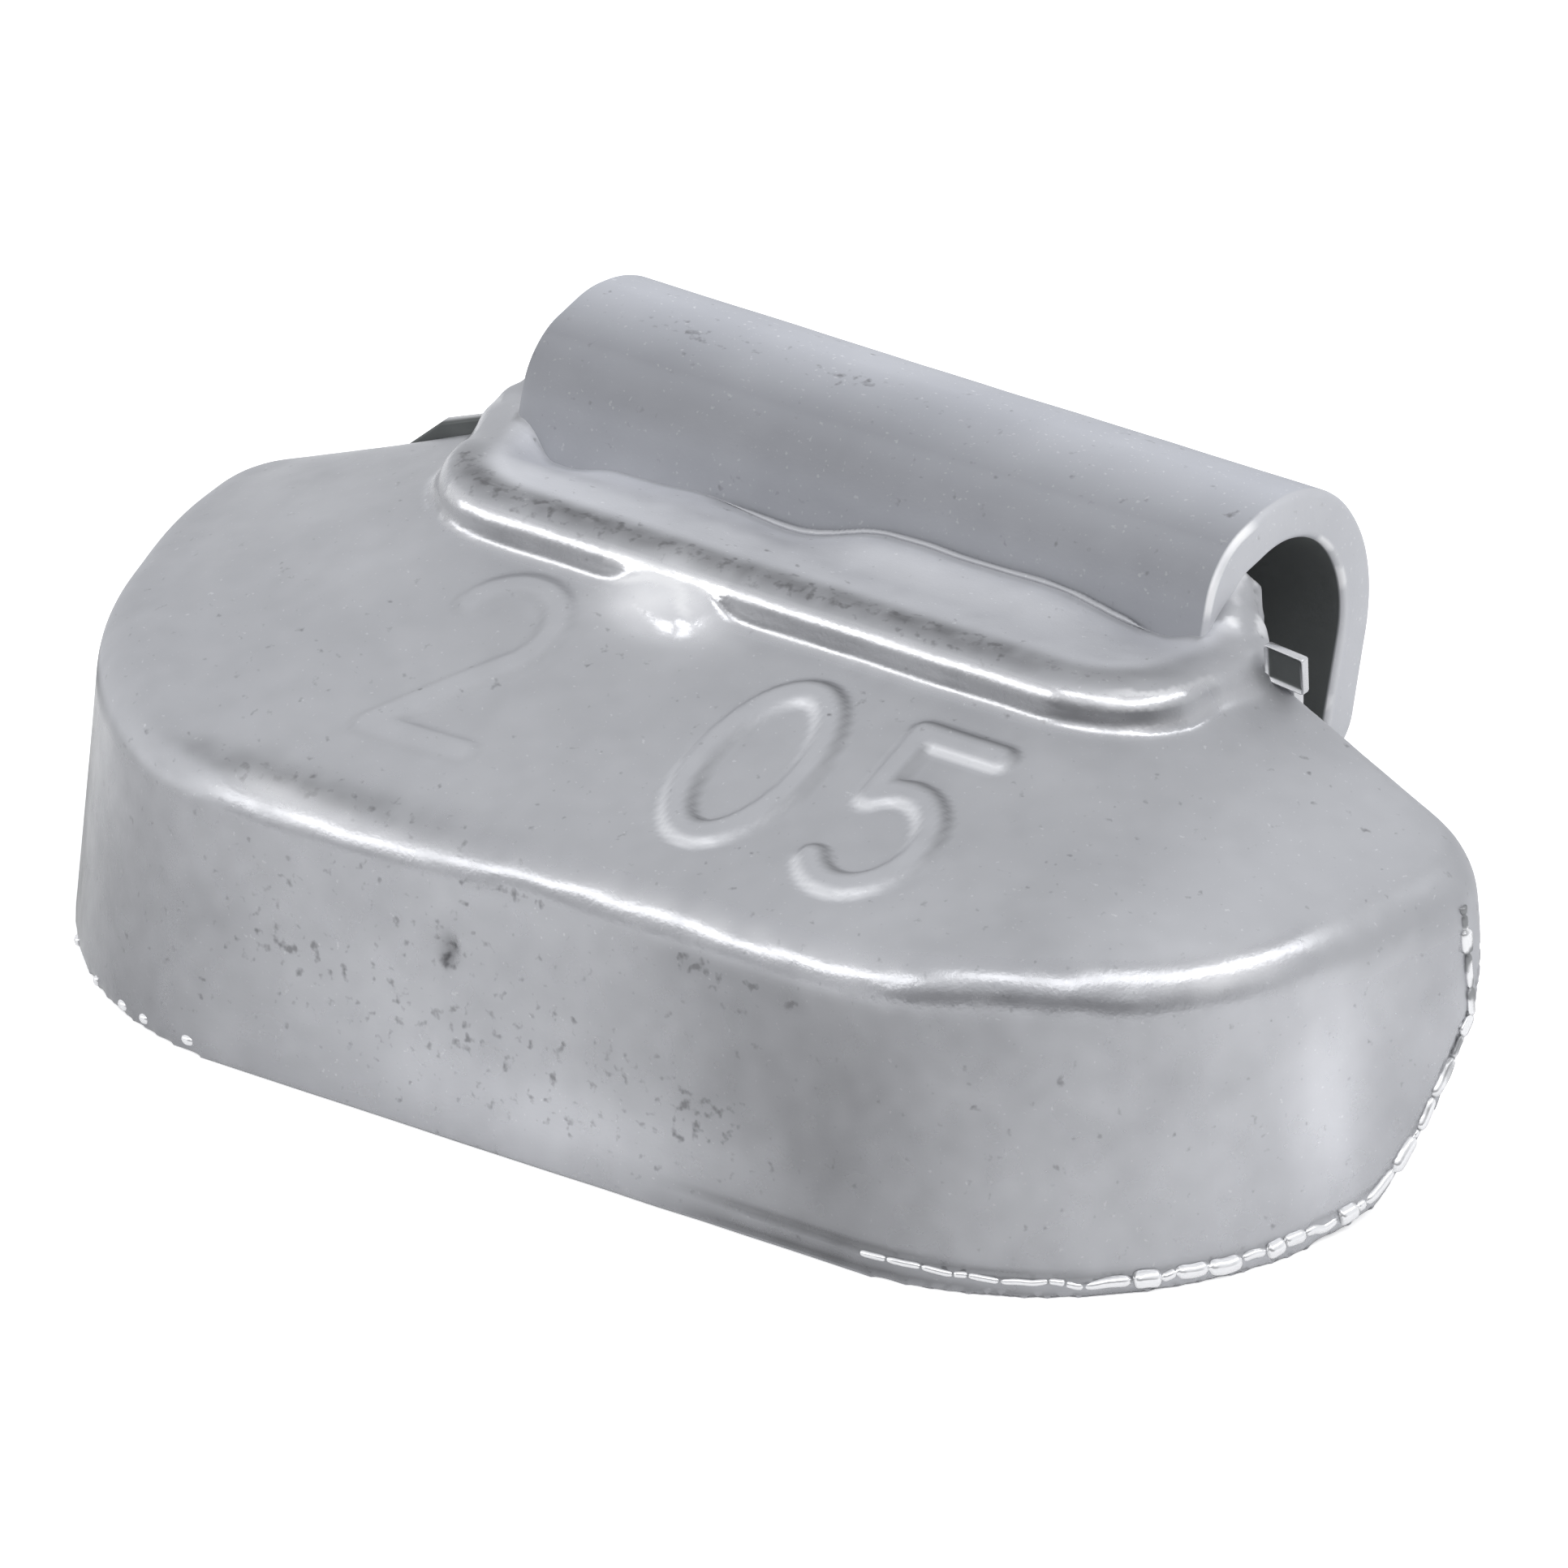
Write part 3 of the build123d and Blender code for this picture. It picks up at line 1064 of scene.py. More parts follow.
@dataclass
class CastTrims:
    """The casting's lip, the beads along its foot and the ridge along the strip's foot. Millimetres."""

    body: CastBody
    lip_length: float = 13.3
    lip_height: float = 5.9
    lip_thickness: float = 0.25
    lip_setback: float = 0.1
    lip_bevel: float = 0.035
    tab_stand: float = 0.16
    tab_overlap: float = 0.02
    tab_frame: float = 0.075
    tab_sink: float = 0.08
    bead_top: float = 3.9
    bead_step: float = 0.025
    bead_sink: float = 0.06
    bead_sides: int = 10
    bead_start: float = 0.3
    first_bead: float = 3.2
    thinnest_link: float = 0.028
    left_beads: tuple = ((0.6, 0.13), (1.5, 0.12), (2.0, 0.14), (2.9, 0.1), (4.1, 0.12))
    left_bead_radius: float = 0.085
    left_bead_drop: float = 0.14
    ridge_start: float = -2.5
    ridge_end: float = 4.66
    ridge_step: float = 0.04
    ridge_radius: float = 0.05
    ridge_ahead: float = 0.055
    ridge_lift: float = 0.012

    def lip(self) -> bpy.types.Object:
        """Returns the thin flash-like lip behind the pad as a crisp piece of its own, in metres."""
        rear = self.body.rear_y - self.lip_setback
        front = rear - self.lip_thickness
        end = self.lip_length / 2
        foot = self.body.collar_foot + 0.05
        top = self.lip_height
        # The plate's left end is torn, and a small framed tab stands on its right end
        plate = [
            (-end - 0.25, foot),
            (-end - 0.8, top - 1.35),
            (-end - 1.1, top - 0.95),
            (-end - 0.5, top - 0.4),
            (-end + 0.15, top - 0.14),
            (-end + 0.6, top),
            (end - 0.6, top),
            (end - 0.3, top - 0.05),
            (end - 0.04, top - 0.2),
            (end - 0.04, foot),
        ]
        tab = [
            (end - 0.44, top + 0.3),
            (end + 0.18, top + 0.24),
            (end + 0.2, top - 0.28),
            (end - 0.42, top - 0.22),
        ]
        shape = bmesh.new()
        slabs = ((plate, front, rear), (tab, front - self.tab_stand, front + self.tab_overlap))
        for outline, low, high in slabs:
            slab = prism("casting_lip", outline, 1, low, high)
            shape.from_mesh(slab.data)
            bpy.data.objects.remove(slab)
        bmesh.ops.recalc_face_normals(shape, faces=shape.faces)
        faced = [f for f in shape.faces if f.normal.y < -0.9 and f.calc_center_median().y < front - 0.02]
        bmesh.ops.inset_individual(shape, faces=faced, thickness=self.tab_frame, depth=-self.tab_sink)
        sharp = [e for e in shape.edges if len(e.link_faces) == 2 and e.calc_face_angle() > 0.5]
        bmesh.ops.bevel(shape, geom=sharp, offset=self.lip_bevel, segments=2, affect="EDGES", profile=0.5)
        piece = bmesh_object("casting_lip", shape)
        points = mesh_points(piece.data)
        x, y, z = points.T
        # Painted shade in the tab's sunk field and on the front of the torn left end, and a painted highlight
        # on the rest of the lip
        sunk = (x > end - 0.5) & (x < end + 0.14) & (np.abs(y - front + self.tab_sink) < 0.02)
        sunk &= (z < top + 0.24) & (z > top - 0.23)
        sunk |= (x < -6.0) & (y < rear - 0.05)
        set_points(piece.data, inside_box(points))
        keep_marks(piece.data, shade=np.where(sunk, 1.0, 0.0), burr=np.where(sunk, 0.0, 0.4))
        return piece

    def bead_sizes(self, along: np.ndarray) -> np.ndarray:
        """Radius of the bead chain at each place along it.

        Args:
            along: Distances from the chain's start.

        Returns:
            One radius for each place, a thin link between two beads.
        """
        # Beads of uneven length, each round at both ends
        count = int(along[-1] / 0.1) + 2
        number = np.arange(count)
        lengths = 0.4 + 0.19 * np.sin(1.7 * number) + 0.1 * np.sin(4.1 * number)
        ends = np.cumsum(lengths)
        which = np.clip(np.searchsorted(ends, along, side="right"), 0, count - 1)
        share = 1 - (ends[which] - along) / lengths[which]
        roundness = np.sqrt(np.clip(1 - (2 * share - 1) ** 6, 0, 1))
        # A thin wavy line first, then thick beads that grow thinner again
        thick = 0.105 + 0.035 * np.sin(2.3 * which)
        beads = ease(along, self.first_bead - 0.5, self.first_bead + 0.5)
        fading = 1 - 0.25 * ease(along, self.first_bead + 3.5, self.first_bead + 6)
        line = 0.052 * (0.3 + 0.7 * roundness)
        return np.maximum((1 - beads) * line + beads * thick * roundness * fading, self.thinnest_link)

    def bead_tube(self, run: np.ndarray, out: np.ndarray, sizes: np.ndarray, start: int) -> tuple:
        """One closed tube of beads.

        Args:
            run: Places along the tube's middle line.
            out: Direction away from the casting at each place.
            sizes: Radius at each place.
            start: Index of the tube's first point in the whole mesh.

        Returns:
            The tube's points and its faces.
        """
        turn = np.linspace(0, 2 * math.pi, self.bead_sides + 1)[:-1]
        ahead = np.gradient(run, axis=0)
        upward = np.cross(out, ahead)
        upward /= np.linalg.norm(upward, axis=1, keepdims=True) + 1e-9
        outward = np.cos(turn)[None, :, None] * out[:, None, :]
        ring = outward + np.sin(turn)[None, :, None] * upward[:, None, :]
        points = (run[:, None, :] + sizes[:, None, None] * ring).reshape(-1, 3)
        faces = grid_faces(len(run), len(turn), start=start, closed=True)
        last = start + (len(run) - 1) * len(turn)
        faces.append(tuple(range(start, start + len(turn)))[::-1])
        faces.append(tuple(range(last, last + len(turn))))
        return points, faces

    def bead_line(self) -> tuple:
        """Returns the chain's line, along the right foot and up the rear corner, and its outward way."""
        body = self.body
        rows = body.trimmed_rows()
        corner = body.front_steps + body.corner_steps + body.end_steps + 1
        foot = rows[0, : corner + 1].copy()
        foot[:, 2] += body.bead_height(foot[:, 0])
        heights = np.linspace(foot[-1, 2], self.bead_top, 40)[1:]
        column = rows[:, corner]
        upright = np.column_stack([np.interp(heights, column[:, 2], column[:, i]) for i in range(3)])
        ahead = np.gradient(foot, axis=0)
        out = np.column_stack([ahead[:, 1], -ahead[:, 0], np.zeros(len(foot))])
        out /= np.linalg.norm(out, axis=1, keepdims=True)
        upright_out = np.repeat(out[-1:], len(upright), axis=0)
        return np.concatenate([foot, upright]), np.concatenate([out, upright_out])

    def bead_chain(self) -> bpy.types.Object:
        """Returns the uneven bright bead that trimming left along the foot of the casting, in metres."""
        line, outward = self.bead_line()
        step = np.linalg.norm(np.diff(line, axis=0), axis=1)
        along = np.concatenate([[0], np.cumsum(step)])
        first = along[self.body.front_steps]
        stretches = [(1, first + self.bead_start, along[-1])]
        for place, reach in self.left_beads:
            stretches.append((-1, first + place, first + place + 2 * reach))
        points = []
        faces = []
        radii = []
        for side, begin, stop in stretches:
            stations = np.arange(begin, stop, self.bead_step)
            run = np.column_stack([np.interp(stations, along, line[:, i]) for i in range(3)])
            out = np.column_stack([np.interp(stations, along, outward[:, i]) for i in range(3)])
            run = run - self.bead_sink * out
            if side > 0:
                sizes = self.bead_sizes(stations - begin)
                run = run + 0.1 * ease(run[:, 2], 1.4, 2.6)[:, None] * out
                run[:, 2] += 0.05 * cell_noise(run, 1.3, 33) + 0.05 * cell_noise(run, 0.3, 34)
            else:
                share = np.linspace(-1, 1, len(run))
                sizes = np.maximum(self.left_bead_radius * np.sqrt(np.clip(1 - share**2, 0, 1)), 0.006)
                run[:, 2] -= self.left_bead_drop
            tube, quads = self.bead_tube(run, out, sizes, sum(len(p) for p in points))
            points.append(tube * np.array([side, 1, 1]))
            faces += quads if side > 0 else [quad[::-1] for quad in quads]
            radii.append(np.repeat(sizes, self.bead_sides))
        spots = np.concatenate(points)
        piece = mesh_object("casting_bead", inside_box(spots) * MILLIMETRE, faces)
        # Beads paled as uncoated metal with a painted highlight, and painted shade on the thin links between
        # them and on specks up the rear corner
        specks = ease(cell_noise(spots, 0.2, 36), -0.1, 0.2) * ease(spots[:, 2], 1.2, 2.2)
        bright = ease(np.concatenate(radii), 0.029, 0.04) * (1 - 0.85 * specks)
        keep_marks(piece.data, burr=bright, shade=0.7 * (1 - bright))
        return piece

    def ridge(self, casting: bpy.types.Object) -> bpy.types.Object:
        """The fine ridge that the cast metal left along the strip's foot.

        Args:
            casting: The finished casting, in metres.

        Returns:
            The ridge's object, in metres.
        """
        points = mesh_points(casting.data) / MILLIMETRE
        x, y, z = points.T
        gap = self.body.strip_face(z) - y
        points = points[(gap > 0.0) & (gap < 0.16) & (z > 5.6) & (np.abs(x) < 5.2)]
        stations = np.arange(self.ridge_start, self.ridge_end, self.ridge_step)
        heights = np.array([points[np.abs(points[:, 0] - spot) < 0.12, 2].mean() for spot in stations])
        ahead = self.body.strip_face(heights) - self.ridge_ahead
        run = np.column_stack([stations, ahead, heights + self.ridge_lift])
        share = np.linspace(0, 1, len(run))
        tapered = np.minimum(ease(share, 0, 0.2), fade(share, 0.93, 1))
        sizes = self.ridge_radius * (1 + 0.3 * cell_noise(run, 0.35, 35)) * tapered
        out = np.repeat([[0.0, -1.0, 0.0]], len(run), axis=0)
        tube, faces = self.bead_tube(run, out, np.maximum(sizes, 0.004), 0)
        piece = mesh_object("casting_ridge", inside_box(tube) * MILLIMETRE, faces)
        keep_marks(piece.data, dull=np.full(len(tube), 0.7))
        return piece

    def build(self, casting: bpy.types.Object) -> list:
        """Returns the lip, the bead chain and the ridge of the finished casting, in metres."""
        return [self.lip(), self.bead_chain(), self.ridge(casting)]


@dataclass(frozen=True)
class Numeral:
    """A raised figure on the top and the place of its middle. Millimetres."""

    figure: Figure
    x: float
    y: float


@dataclass(frozen=True)
class Shoulder:
    """A soft swelling of the casting: its middle, how far it reaches and how high it is. Millimetres."""

    place: tuple
    reach: float
    rise: float


@dataclass(frozen=True)
class Pit:
    """A pit or soiled patch on the front wall: middle, half sizes and depth in millimetres, and dirt."""

    x: float
    z: float
    wide: float
    tall: float
    depth: float
    dirt: float


@dataclass
class Skin:
    """The casting's points and outward directions, and how strongly each point lies on a feature.

    The depth of the pits, sunk, is in millimetres.
    """

    points: np.ndarray
    normals: np.ndarray
    on_pad: np.ndarray
    faint: np.ndarray
    bold: np.ndarray
    facing: np.ndarray
    on_blob: np.ndarray
    torn: np.ndarray
    bare_and_highlight: np.ndarray
    groove: np.ndarray
    sunk: np.ndarray
    soiled: np.ndarray

    @property
    def up(self) -> np.ndarray:
        """How far each point's outward direction points up, 1 on a level top and 0 on a wall."""
        return self.normals[:, 2]

    @property
    def top_edge(self) -> np.ndarray:
        """Where the rounded edge between the wall and the top is."""
        _, y, z = self.points.T
        return ease(z, 3.5, 3.8) * fade(z, 4.6, 4.9) * (y < 5)


@dataclass
class CastSurface:
    """What casting, trimming and wear left on the body's skin: relief, figures, pits and marks, among them
    painted light and shade.
    """

    body: CastBody
    figure_width: float = 1.75
    figure_height: float = 2.9
    figure_stroke: float = 0.34
    faint_figures: tuple = (Numeral(Figure.TWO, -3.3, 0.86),)
    bold_figures: tuple = (Numeral(Figure.NOUGHT, 1.4, 0.6), Numeral(Figure.FIVE, 3.7, 0.5))
    faint_rise: float = 0.07
    bold_rise: float = 0.11
    light_step: tuple = (0.03, 0.09, 0.0)
    blob_reach: tuple = (0.75, 0.45, 0.5)
    blob_arch_x: float = -1.61
    blob_arch_reach: float = 0.97
    shoulders: tuple = (Shoulder((-9.2, 3.6, 4.6), 1.5, 0.13), Shoulder((10.0, 4.6, 3.9), 1.2, 0.06))
    pits: tuple = (
        Pit(-1.5, 2.71, 0.13, 0.2, 0.11, 0.5),
        Pit(-0.5, 3.8, 0.7, 0.12, 0.01, 0.75),
        Pit(2.4, 3.62, 0.75, 0.16, 0.015, 0.85),
        Pit(3.93, 3.5, 0.3, 0.14, 0.015, 0.8),
        Pit(2.9, 3.2, 0.4, 0.12, 0.01, 0.7),
        Pit(2.6, 1.49, 0.6, 0.4, 0.01, 0.6),
        Pit(-4.13, 2.06, 0.6, 0.3, 0.01, 0.45),
        Pit(0.5, 1.3, 3.2, 1.0, 0.0, 0.35),
        Pit(-3.0, 2.4, 4.0, 1.4, 0.0, 0.25),
    )

    def stroke(self, figure: Figure) -> np.ndarray:
        """Returns a figure's stroke as points in a box one wide and one tall, from its middle."""
        if figure is Figure.NOUGHT:
            turn = np.linspace(0, 2 * math.pi, 33)
            return np.column_stack([0.42 * np.cos(turn), 0.5 * np.sin(turn)])
        if figure is Figure.TWO:
            arch = np.radians(np.linspace(165, -35, 15))
            bow = np.column_stack([0.4 * np.cos(arch), 0.22 + 0.28 * np.sin(arch)])
            return np.concatenate([bow, [[-0.42, -0.5], [0.45, -0.5]]])
        arch = np.radians(np.linspace(130, -140, 21))
        bow = np.column_stack([0.42 * np.cos(arch), -0.18 + 0.32 * np.sin(arch)])
        return np.concatenate([[[0.4, 0.5], [-0.3, 0.5]], bow])

    def figures_at(self, points: np.ndarray, numerals: tuple) -> np.ndarray:
        """How strongly each point lies on the strokes of some figures.

        Args:
            points: Places on the top face.
            numerals: The figures and their places.

        Returns:
            1 on a stroke, 0 away from it and a slope between.
        """
        total = np.zeros(len(points))
        size = np.array([self.figure_width, self.figure_height])
        for numeral in numerals:
            best = np.full(len(points), 9.0)
            flat = points[:, :2] - np.array([numeral.x, numeral.y])
            line = self.stroke(numeral.figure) * size
            for start, end in zip(line[:-1], line[1:]):
                along = end - start
                share = np.clip((flat - start) @ along / (along @ along), 0, 1)
                away = np.linalg.norm(flat - start - share[:, None] * along, axis=1)
                best = np.minimum(best, away)
            total += fade(best, self.figure_stroke * 0.3, self.figure_stroke * 0.85)
        return total

    def warp(self, points: np.ndarray, normals: np.ndarray) -> tuple:
        """Moves the top's front edge, the pad's right end and the pad's meeting with the strip.

        Args:
            points: Places on the softened casting.
            normals: Their outward directions.

        Returns:
            The moved points, and which of them are on the pad's top.
        """
        body = self.body
        x, y, z = points.T.copy()
        z += body.edge_lift(x) * bell(z, body.edge_height, 0.9) * fade(y, -0.8, 2.0)
        right_end = ease(x, 4.6, 5.8) * fade(x, 6.3, 7.0) * fade(y, 3.7, 4.6)
        x += 0.14 * right_end * ease(z, 5.5, 5.75)
        on_pad = (normals[:, 2] > 0.75) & (z > 5.9) & (y < body.rear_y - 0.2)
        by_strip = ease(y, 4.1, 5.0) * fade(np.abs(x - body.clip.shift), 4.9, 5.4)
        z += body.bank_height(x) * by_strip * on_pad
        return np.column_stack([x, y, z]), on_pad

    def read(self, points: np.ndarray, normals: np.ndarray, on_pad: np.ndarray) -> Skin:
        """Finds where the casting's small features lie.

        Args:
            points: Places on the warped casting.
            normals: Their outward directions.
            on_pad: Which of them are on the pad's top.

        Returns:
            The skin with its features.
        """
        x, y, z = points.T
        up = normals[:, 2]
        on_top = (up > 0.8) & (z > 4.4) & (z < 5.75)
        bold = self.figures_at(points, self.bold_figures) * on_top
        ahead = points + np.array(self.light_step)
        away = (points - self.body.blob_place) / np.array(self.blob_reach)
        on_blob = np.exp(-(away**2).sum(axis=1))
        torn = ease(np.abs(x), 5.0, 5.3) * ease(z, 5.7, 5.9) * ease(y, 5.2, 5.5)
        # Painted highlight on the blob, and painted highlight specks on the torn webs
        bare_and_highlight = (0.95 + 0.25 * cell_noise(points, 0.2, 16)) * on_blob
        bare_and_highlight = np.maximum(bare_and_highlight, 0.6 * torn * ease(cell_noise(points, 0.22, 15), 0.25, 0.55))
        # The grooves under and over the bead chain
        height = z - self.body.back_line(y) - self.body.bead_height(x)
        groove = 0.8 * bell(height, -0.2, 0.08) + bell(height, 0.1, 0.06)
        groove *= (up < 0.3) * (up > -0.3) * ease(x, 1.6, 3.6)
        sunk = np.zeros(len(points))
        soiled = np.zeros(len(points))
        on_front = (normals[:, 1] < -0.3) & (y < 0)
        for pit in self.pits:
            near = bell(x, pit.x, pit.wide) * bell(z, pit.z, pit.tall) * on_front
            sunk += pit.depth * near
            soiled += pit.dirt * near
        return Skin(
            points=points,
            normals=normals,
            on_pad=on_pad,
            faint=self.figures_at(points, self.faint_figures) * on_top,
            bold=bold,
            facing=self.figures_at(ahead, self.bold_figures) * on_top - bold,
            on_blob=on_blob,
            torn=torn,
            bare_and_highlight=bare_and_highlight,
            groove=groove,
            sunk=sunk,
            soiled=soiled,
        )

    def swell(self, skin: Skin) -> np.ndarray:
        """Returns how far each point moves outwards: unevenness, figures, torn webs, pits and grooves."""
        points = skin.points
        z = points[:, 2]
        swell = 0.012 * cell_noise(points, 2.4, 1) + 0.006 * cell_noise(points, 0.8, 2)
        for shoulder in self.shoulders:
            away = np.linalg.norm(points - np.array(shoulder.place), axis=1) / shoulder.reach
            swell += shoulder.rise * np.exp(-(away**2)) * (skin.up > -0.3)
        swell += self.faint_rise * skin.faint + self.bold_rise * skin.bold
        swell += 0.04 * skin.torn * cell_noise(points, 0.28, 14)
        swell -= skin.sunk + 0.04 * skin.groove
        turned = bell(z, 4.25, 0.35) + ease(z, 5.4, 5.7)
        return swell + 0.012 * turned * cell_noise(points, 0.55, 13)

    def over_blob(self, skin: Skin) -> np.ndarray:
        """Returns where the painted highlight lines round the blob run: an arch over it and the pad's rim
        behind it.
        """
        x, y, z = skin.points.T
        aside = x - self.blob_arch_x
        arch = 5.57 + 0.41 * np.clip(1 - (aside / self.blob_arch_reach) ** 2, 0, 1)
        lines = np.maximum(bell(z, arch, 0.06) * ease(z, 5.7, 5.85), bell(z, 6.05, 0.06))
        return lines * (np.abs(aside) < self.blob_arch_reach) * (y > 2.2) * (y < 3.1)

    def glints(self, skin: Skin) -> np.ndarray:
        """Returns how strong the painted highlights are at each point, as lines and patches on edges, rims,
        the blob and the figures.
        """
        x, y, z = skin.points.T
        # The top's front edge and its right end
        spread = 0.45 * bell(x, -3.4, 1.3) + 0.35 * bell(x, 2.5, 3.0)
        spread += 0.5 * bell(x, 8.9, 0.6) * fade(y, 0.8, 2.0)
        uneven = 0.85 + 0.5 * cell_noise(skin.points, 0.3, 17)
        glint = spread * skin.top_edge * bell(skin.up, 0.6, 0.2) * uneven * (y < 2.2)
        # A soft patch on the left of that edge
        patch = bell(x, -4.6, 0.6) * bell(skin.up, 0.75, 0.15)
        glint += 0.4 * patch * skin.top_edge * fade(y, -2.0, -1.2)
        # The pad's right corner, at its foot and at its rim
        glint += 0.5 * bell(x, 5.75, 0.35) * bell(z, 5.74, 0.07) * (y > 3)
        glint += 0.5 * bell(x, 5.6, 0.35) * (z > 5.95) * (np.abs(skin.up - 0.6) < 0.25) * (y < 4.6)
        # The pad's rim and its crease
        lit = bell(skin.up, 0.56, 0.15) * (y < 3.5) * (np.abs(x) < 5.4)
        glint += 0.5 * lit * (z > 5.95) + 0.45 * lit * bell(z, 5.72, 0.06)
        # The lines round the blob, and the slopes of the figures that face the front
        return glint + self.over_blob(skin) + 0.8 * np.clip(skin.facing - 0.15, 0, 1)

    def dullness(self, skin: Skin) -> np.ndarray:
        """Returns how matt the coat is at each point: pad, torn webs, parts of the edge, hip."""
        x, y, z = skin.points.T
        matt = ease(-x, 4.9, 6.4) + 0.14 * ease(-x, 0.5, 3.0) + 0.8 * ease(y, 1.6, 2.6) * (x > 8)
        dull = np.maximum(0.8 * skin.on_pad, skin.torn)
        dull = np.maximum(dull, skin.top_edge * np.clip(matt, 0, 1))
        on_hip = ease(skin.up, 0.85, 0.93) * ease(z, 4.2, 4.6) * fade(z, 5.7, 5.8)
        dull = np.maximum(dull, 0.5 * on_hip) * (1 - np.maximum(self.over_blob(skin), skin.on_blob))
        return np.maximum(dull, ease(x, 5.6, 6.0) * ease(y, 4.2, 4.8))

    def rim_distance(self, points: np.ndarray) -> np.ndarray:
        """Returns each point's distance from the pad's rim, seen from above, and a far one off the pad."""
        body = self.body
        rim = body.pad_outline(body.pad_taper)[: body.front_steps + body.corner_steps + body.end_steps]
        distance = np.full(len(points), 9.0)
        high = np.flatnonzero((points[:, 2] > 5.9) & (points[:, 1] < body.rear_y))
        flat = np.column_stack([np.abs(points[high, 0]), points[high, 1]])
        for part in np.array_split(np.arange(len(high)), 20):
            gaps = np.linalg.norm(flat[part, None, :] - rim[None, :, :], axis=2)
            distance[high[part]] = gaps.min(axis=1)
        return distance

    def dark_bands(self, skin: Skin, from_rim: np.ndarray) -> np.ndarray:
        """How dark the bands behind the pad's rim and behind the top's front edge are: painted dark
        reflections, with some dirt.

        Args:
            skin: The casting's skin.
            from_rim: How far its points lie from the pad's rim.

        Returns:
            One share for each point, 0 off the bands.
        """
        x, y, z = skin.points.T
        rim = bell(from_rim, 0.36, 0.24) * ease(z, 6.0, 6.12) * fade(y, 3.7, 4.6)
        rim = rim * ease(skin.up, 0.68, 0.8) * (1 - 0.6 * ease(x, 3.5, 4.8))
        ring = bell(y - self.body.front_y, 0.75, 0.3) * ease(z, 3.95, 4.1) * bell(x, -4.6, 2.6)
        return 0.46 * rim + 0.36 * ring

    def wall_tones(self, skin: Skin) -> np.ndarray:
        """Returns how much paler or darker the coat is painted on the wall, by listed soft patches: painted
        reflections, with some dirt and random mottling.
        """
        x, y, z = skin.points.T
        tone = -0.05 - 0.26 * bell(x, -6.8, 2.2) - 0.7 * ease(-x, 8.0, 9.2) + 0.12 * ease(x, 8.5, 9.5)
        tone += (0.33 * bell(z, 0.8, 0.7) * bell(x, 0.5, 3.0) - 0.39 * bell(x, 4.4, 2.6)) * (y < 0)
        tone += 0.42 * bell(y, 1.8, 0.65) * bell(z, 2.0, 1.5) * (x > 5)
        tone += 0.04 * cell_noise(skin.points, 0.8, 24) + 0.03 * cell_noise(skin.points, 0.25, 25)
        return tone * ease(-skin.up, -0.35, -0.1) * (skin.up > -0.5)

    def pad_tones(self, skin: Skin, from_rim: np.ndarray) -> np.ndarray:
        """How much paler or darker than plain the coat is painted on the pad: painted light and shade.

        Args:
            skin: The casting's skin.
            from_rim: How far its points lie from the pad's rim.

        Returns:
            One difference for each point, 0 off the pad.
        """
        x, y, z = skin.points.T
        clip = self.body.clip
        from_strip = self.body.strip_face(z) - y
        # Painted light: paler behind the rim, where the pad's top faces the light, more so on the left and by
        # the strip
        behind = ease(from_rim, 0.45, 0.8) * ease(z, 5.6, 5.75)
        behind *= (skin.up > 0.85) * (y > 3.2) * (np.abs(x) < 6.2)
        tone = (0.36 + 0.24 * ease(-x, 1.0, 4.0) + 0.16 * fade(from_strip, 0.3, 0.9)) * behind
        # Painted dark reflection: darker on the pad's wall
        tone -= 0.22 * ease(z, 5.66, 5.75) * fade(z, 5.95, 6.05) * (skin.up < 0.6) * fade(y, 3.3, 4.3)
        # Painted shade: dark lines in the crease where the pad meets the strip, and in front of its ridge
        beside = ease(x, -2.6, -2.2) * fade(x, 4.4, 4.7)
        seam = bell(from_strip, 0.02, 0.06) + 0.7 * beside * bell(from_strip, 0.15, 0.06)
        return tone - 0.5 * seam * (z > 5.6) * (np.abs(x - clip.shift) < clip.width / 2)

    def tones(self, skin: Skin, from_rim: np.ndarray) -> np.ndarray:
        """How pale or dark the coat is painted at each point: painted light and shade, with some random
        mottling.

        Args:
            skin: The casting's skin.
            from_rim: How far its points lie from the pad's rim.

        Returns:
            One factor for each point, 1 where the coat is plain.
        """
        points = skin.points
        x = points[:, 0]
        tone = 1 + self.wall_tones(skin) + self.pad_tones(skin, from_rim)
        # Painted light on level faces: paler towards the right end, a little darker right of the middle
        tone += (0.17 * ease(x, 6.5, 8.5) - 0.03 * ease(x, 0.0, 4.0)) * ease(skin.up, 0.8, 0.95)
        # Random mottling
        tone += 0.05 * cell_noise(points, 3.1, 21) + 0.02 * cell_noise(points, 0.9, 22)
        tone += 0.03 * cell_noise(points, 0.25, 27)
        # Painted light on the figures: paler tops, painted shade on their outlines and a painted highlight on
        # their front slopes
        tone += 0.05 * skin.faint - 0.4 * skin.faint * (1 - skin.faint)
        tone += 0.08 * skin.bold - 0.5 * skin.bold * (1 - skin.bold) + 0.6 * skin.facing
        # Painted highlight on the blob, painted shade in the grooves by the bead chain and in the pits
        return tone + 0.6 * skin.on_blob - 0.3 * skin.groove - 4 * skin.sunk

    def apply(self, casting: bpy.types.Object) -> None:
        """Shapes the casting's skin and keeps the marks that its finish reads.

        Args:
            casting: The plain casting, in millimetres. It is in metres afterwards.
        """
        mesh = casting.data
        normals = mesh_normals(mesh)
        points, on_pad = self.warp(mesh_points(mesh), normals)
        skin = self.read(points, normals, on_pad)
        skin.points = inside_box(points + normals * self.swell(skin)[:, None])
        set_points(mesh, skin.points)
        from_rim = self.rim_distance(skin.points)
        bands = self.dark_bands(skin, from_rim)
        patchy = 0.9 + 0.35 * cell_noise(skin.points, 0.5, 23) + 0.35 * cell_noise(skin.points, 0.18, 26)
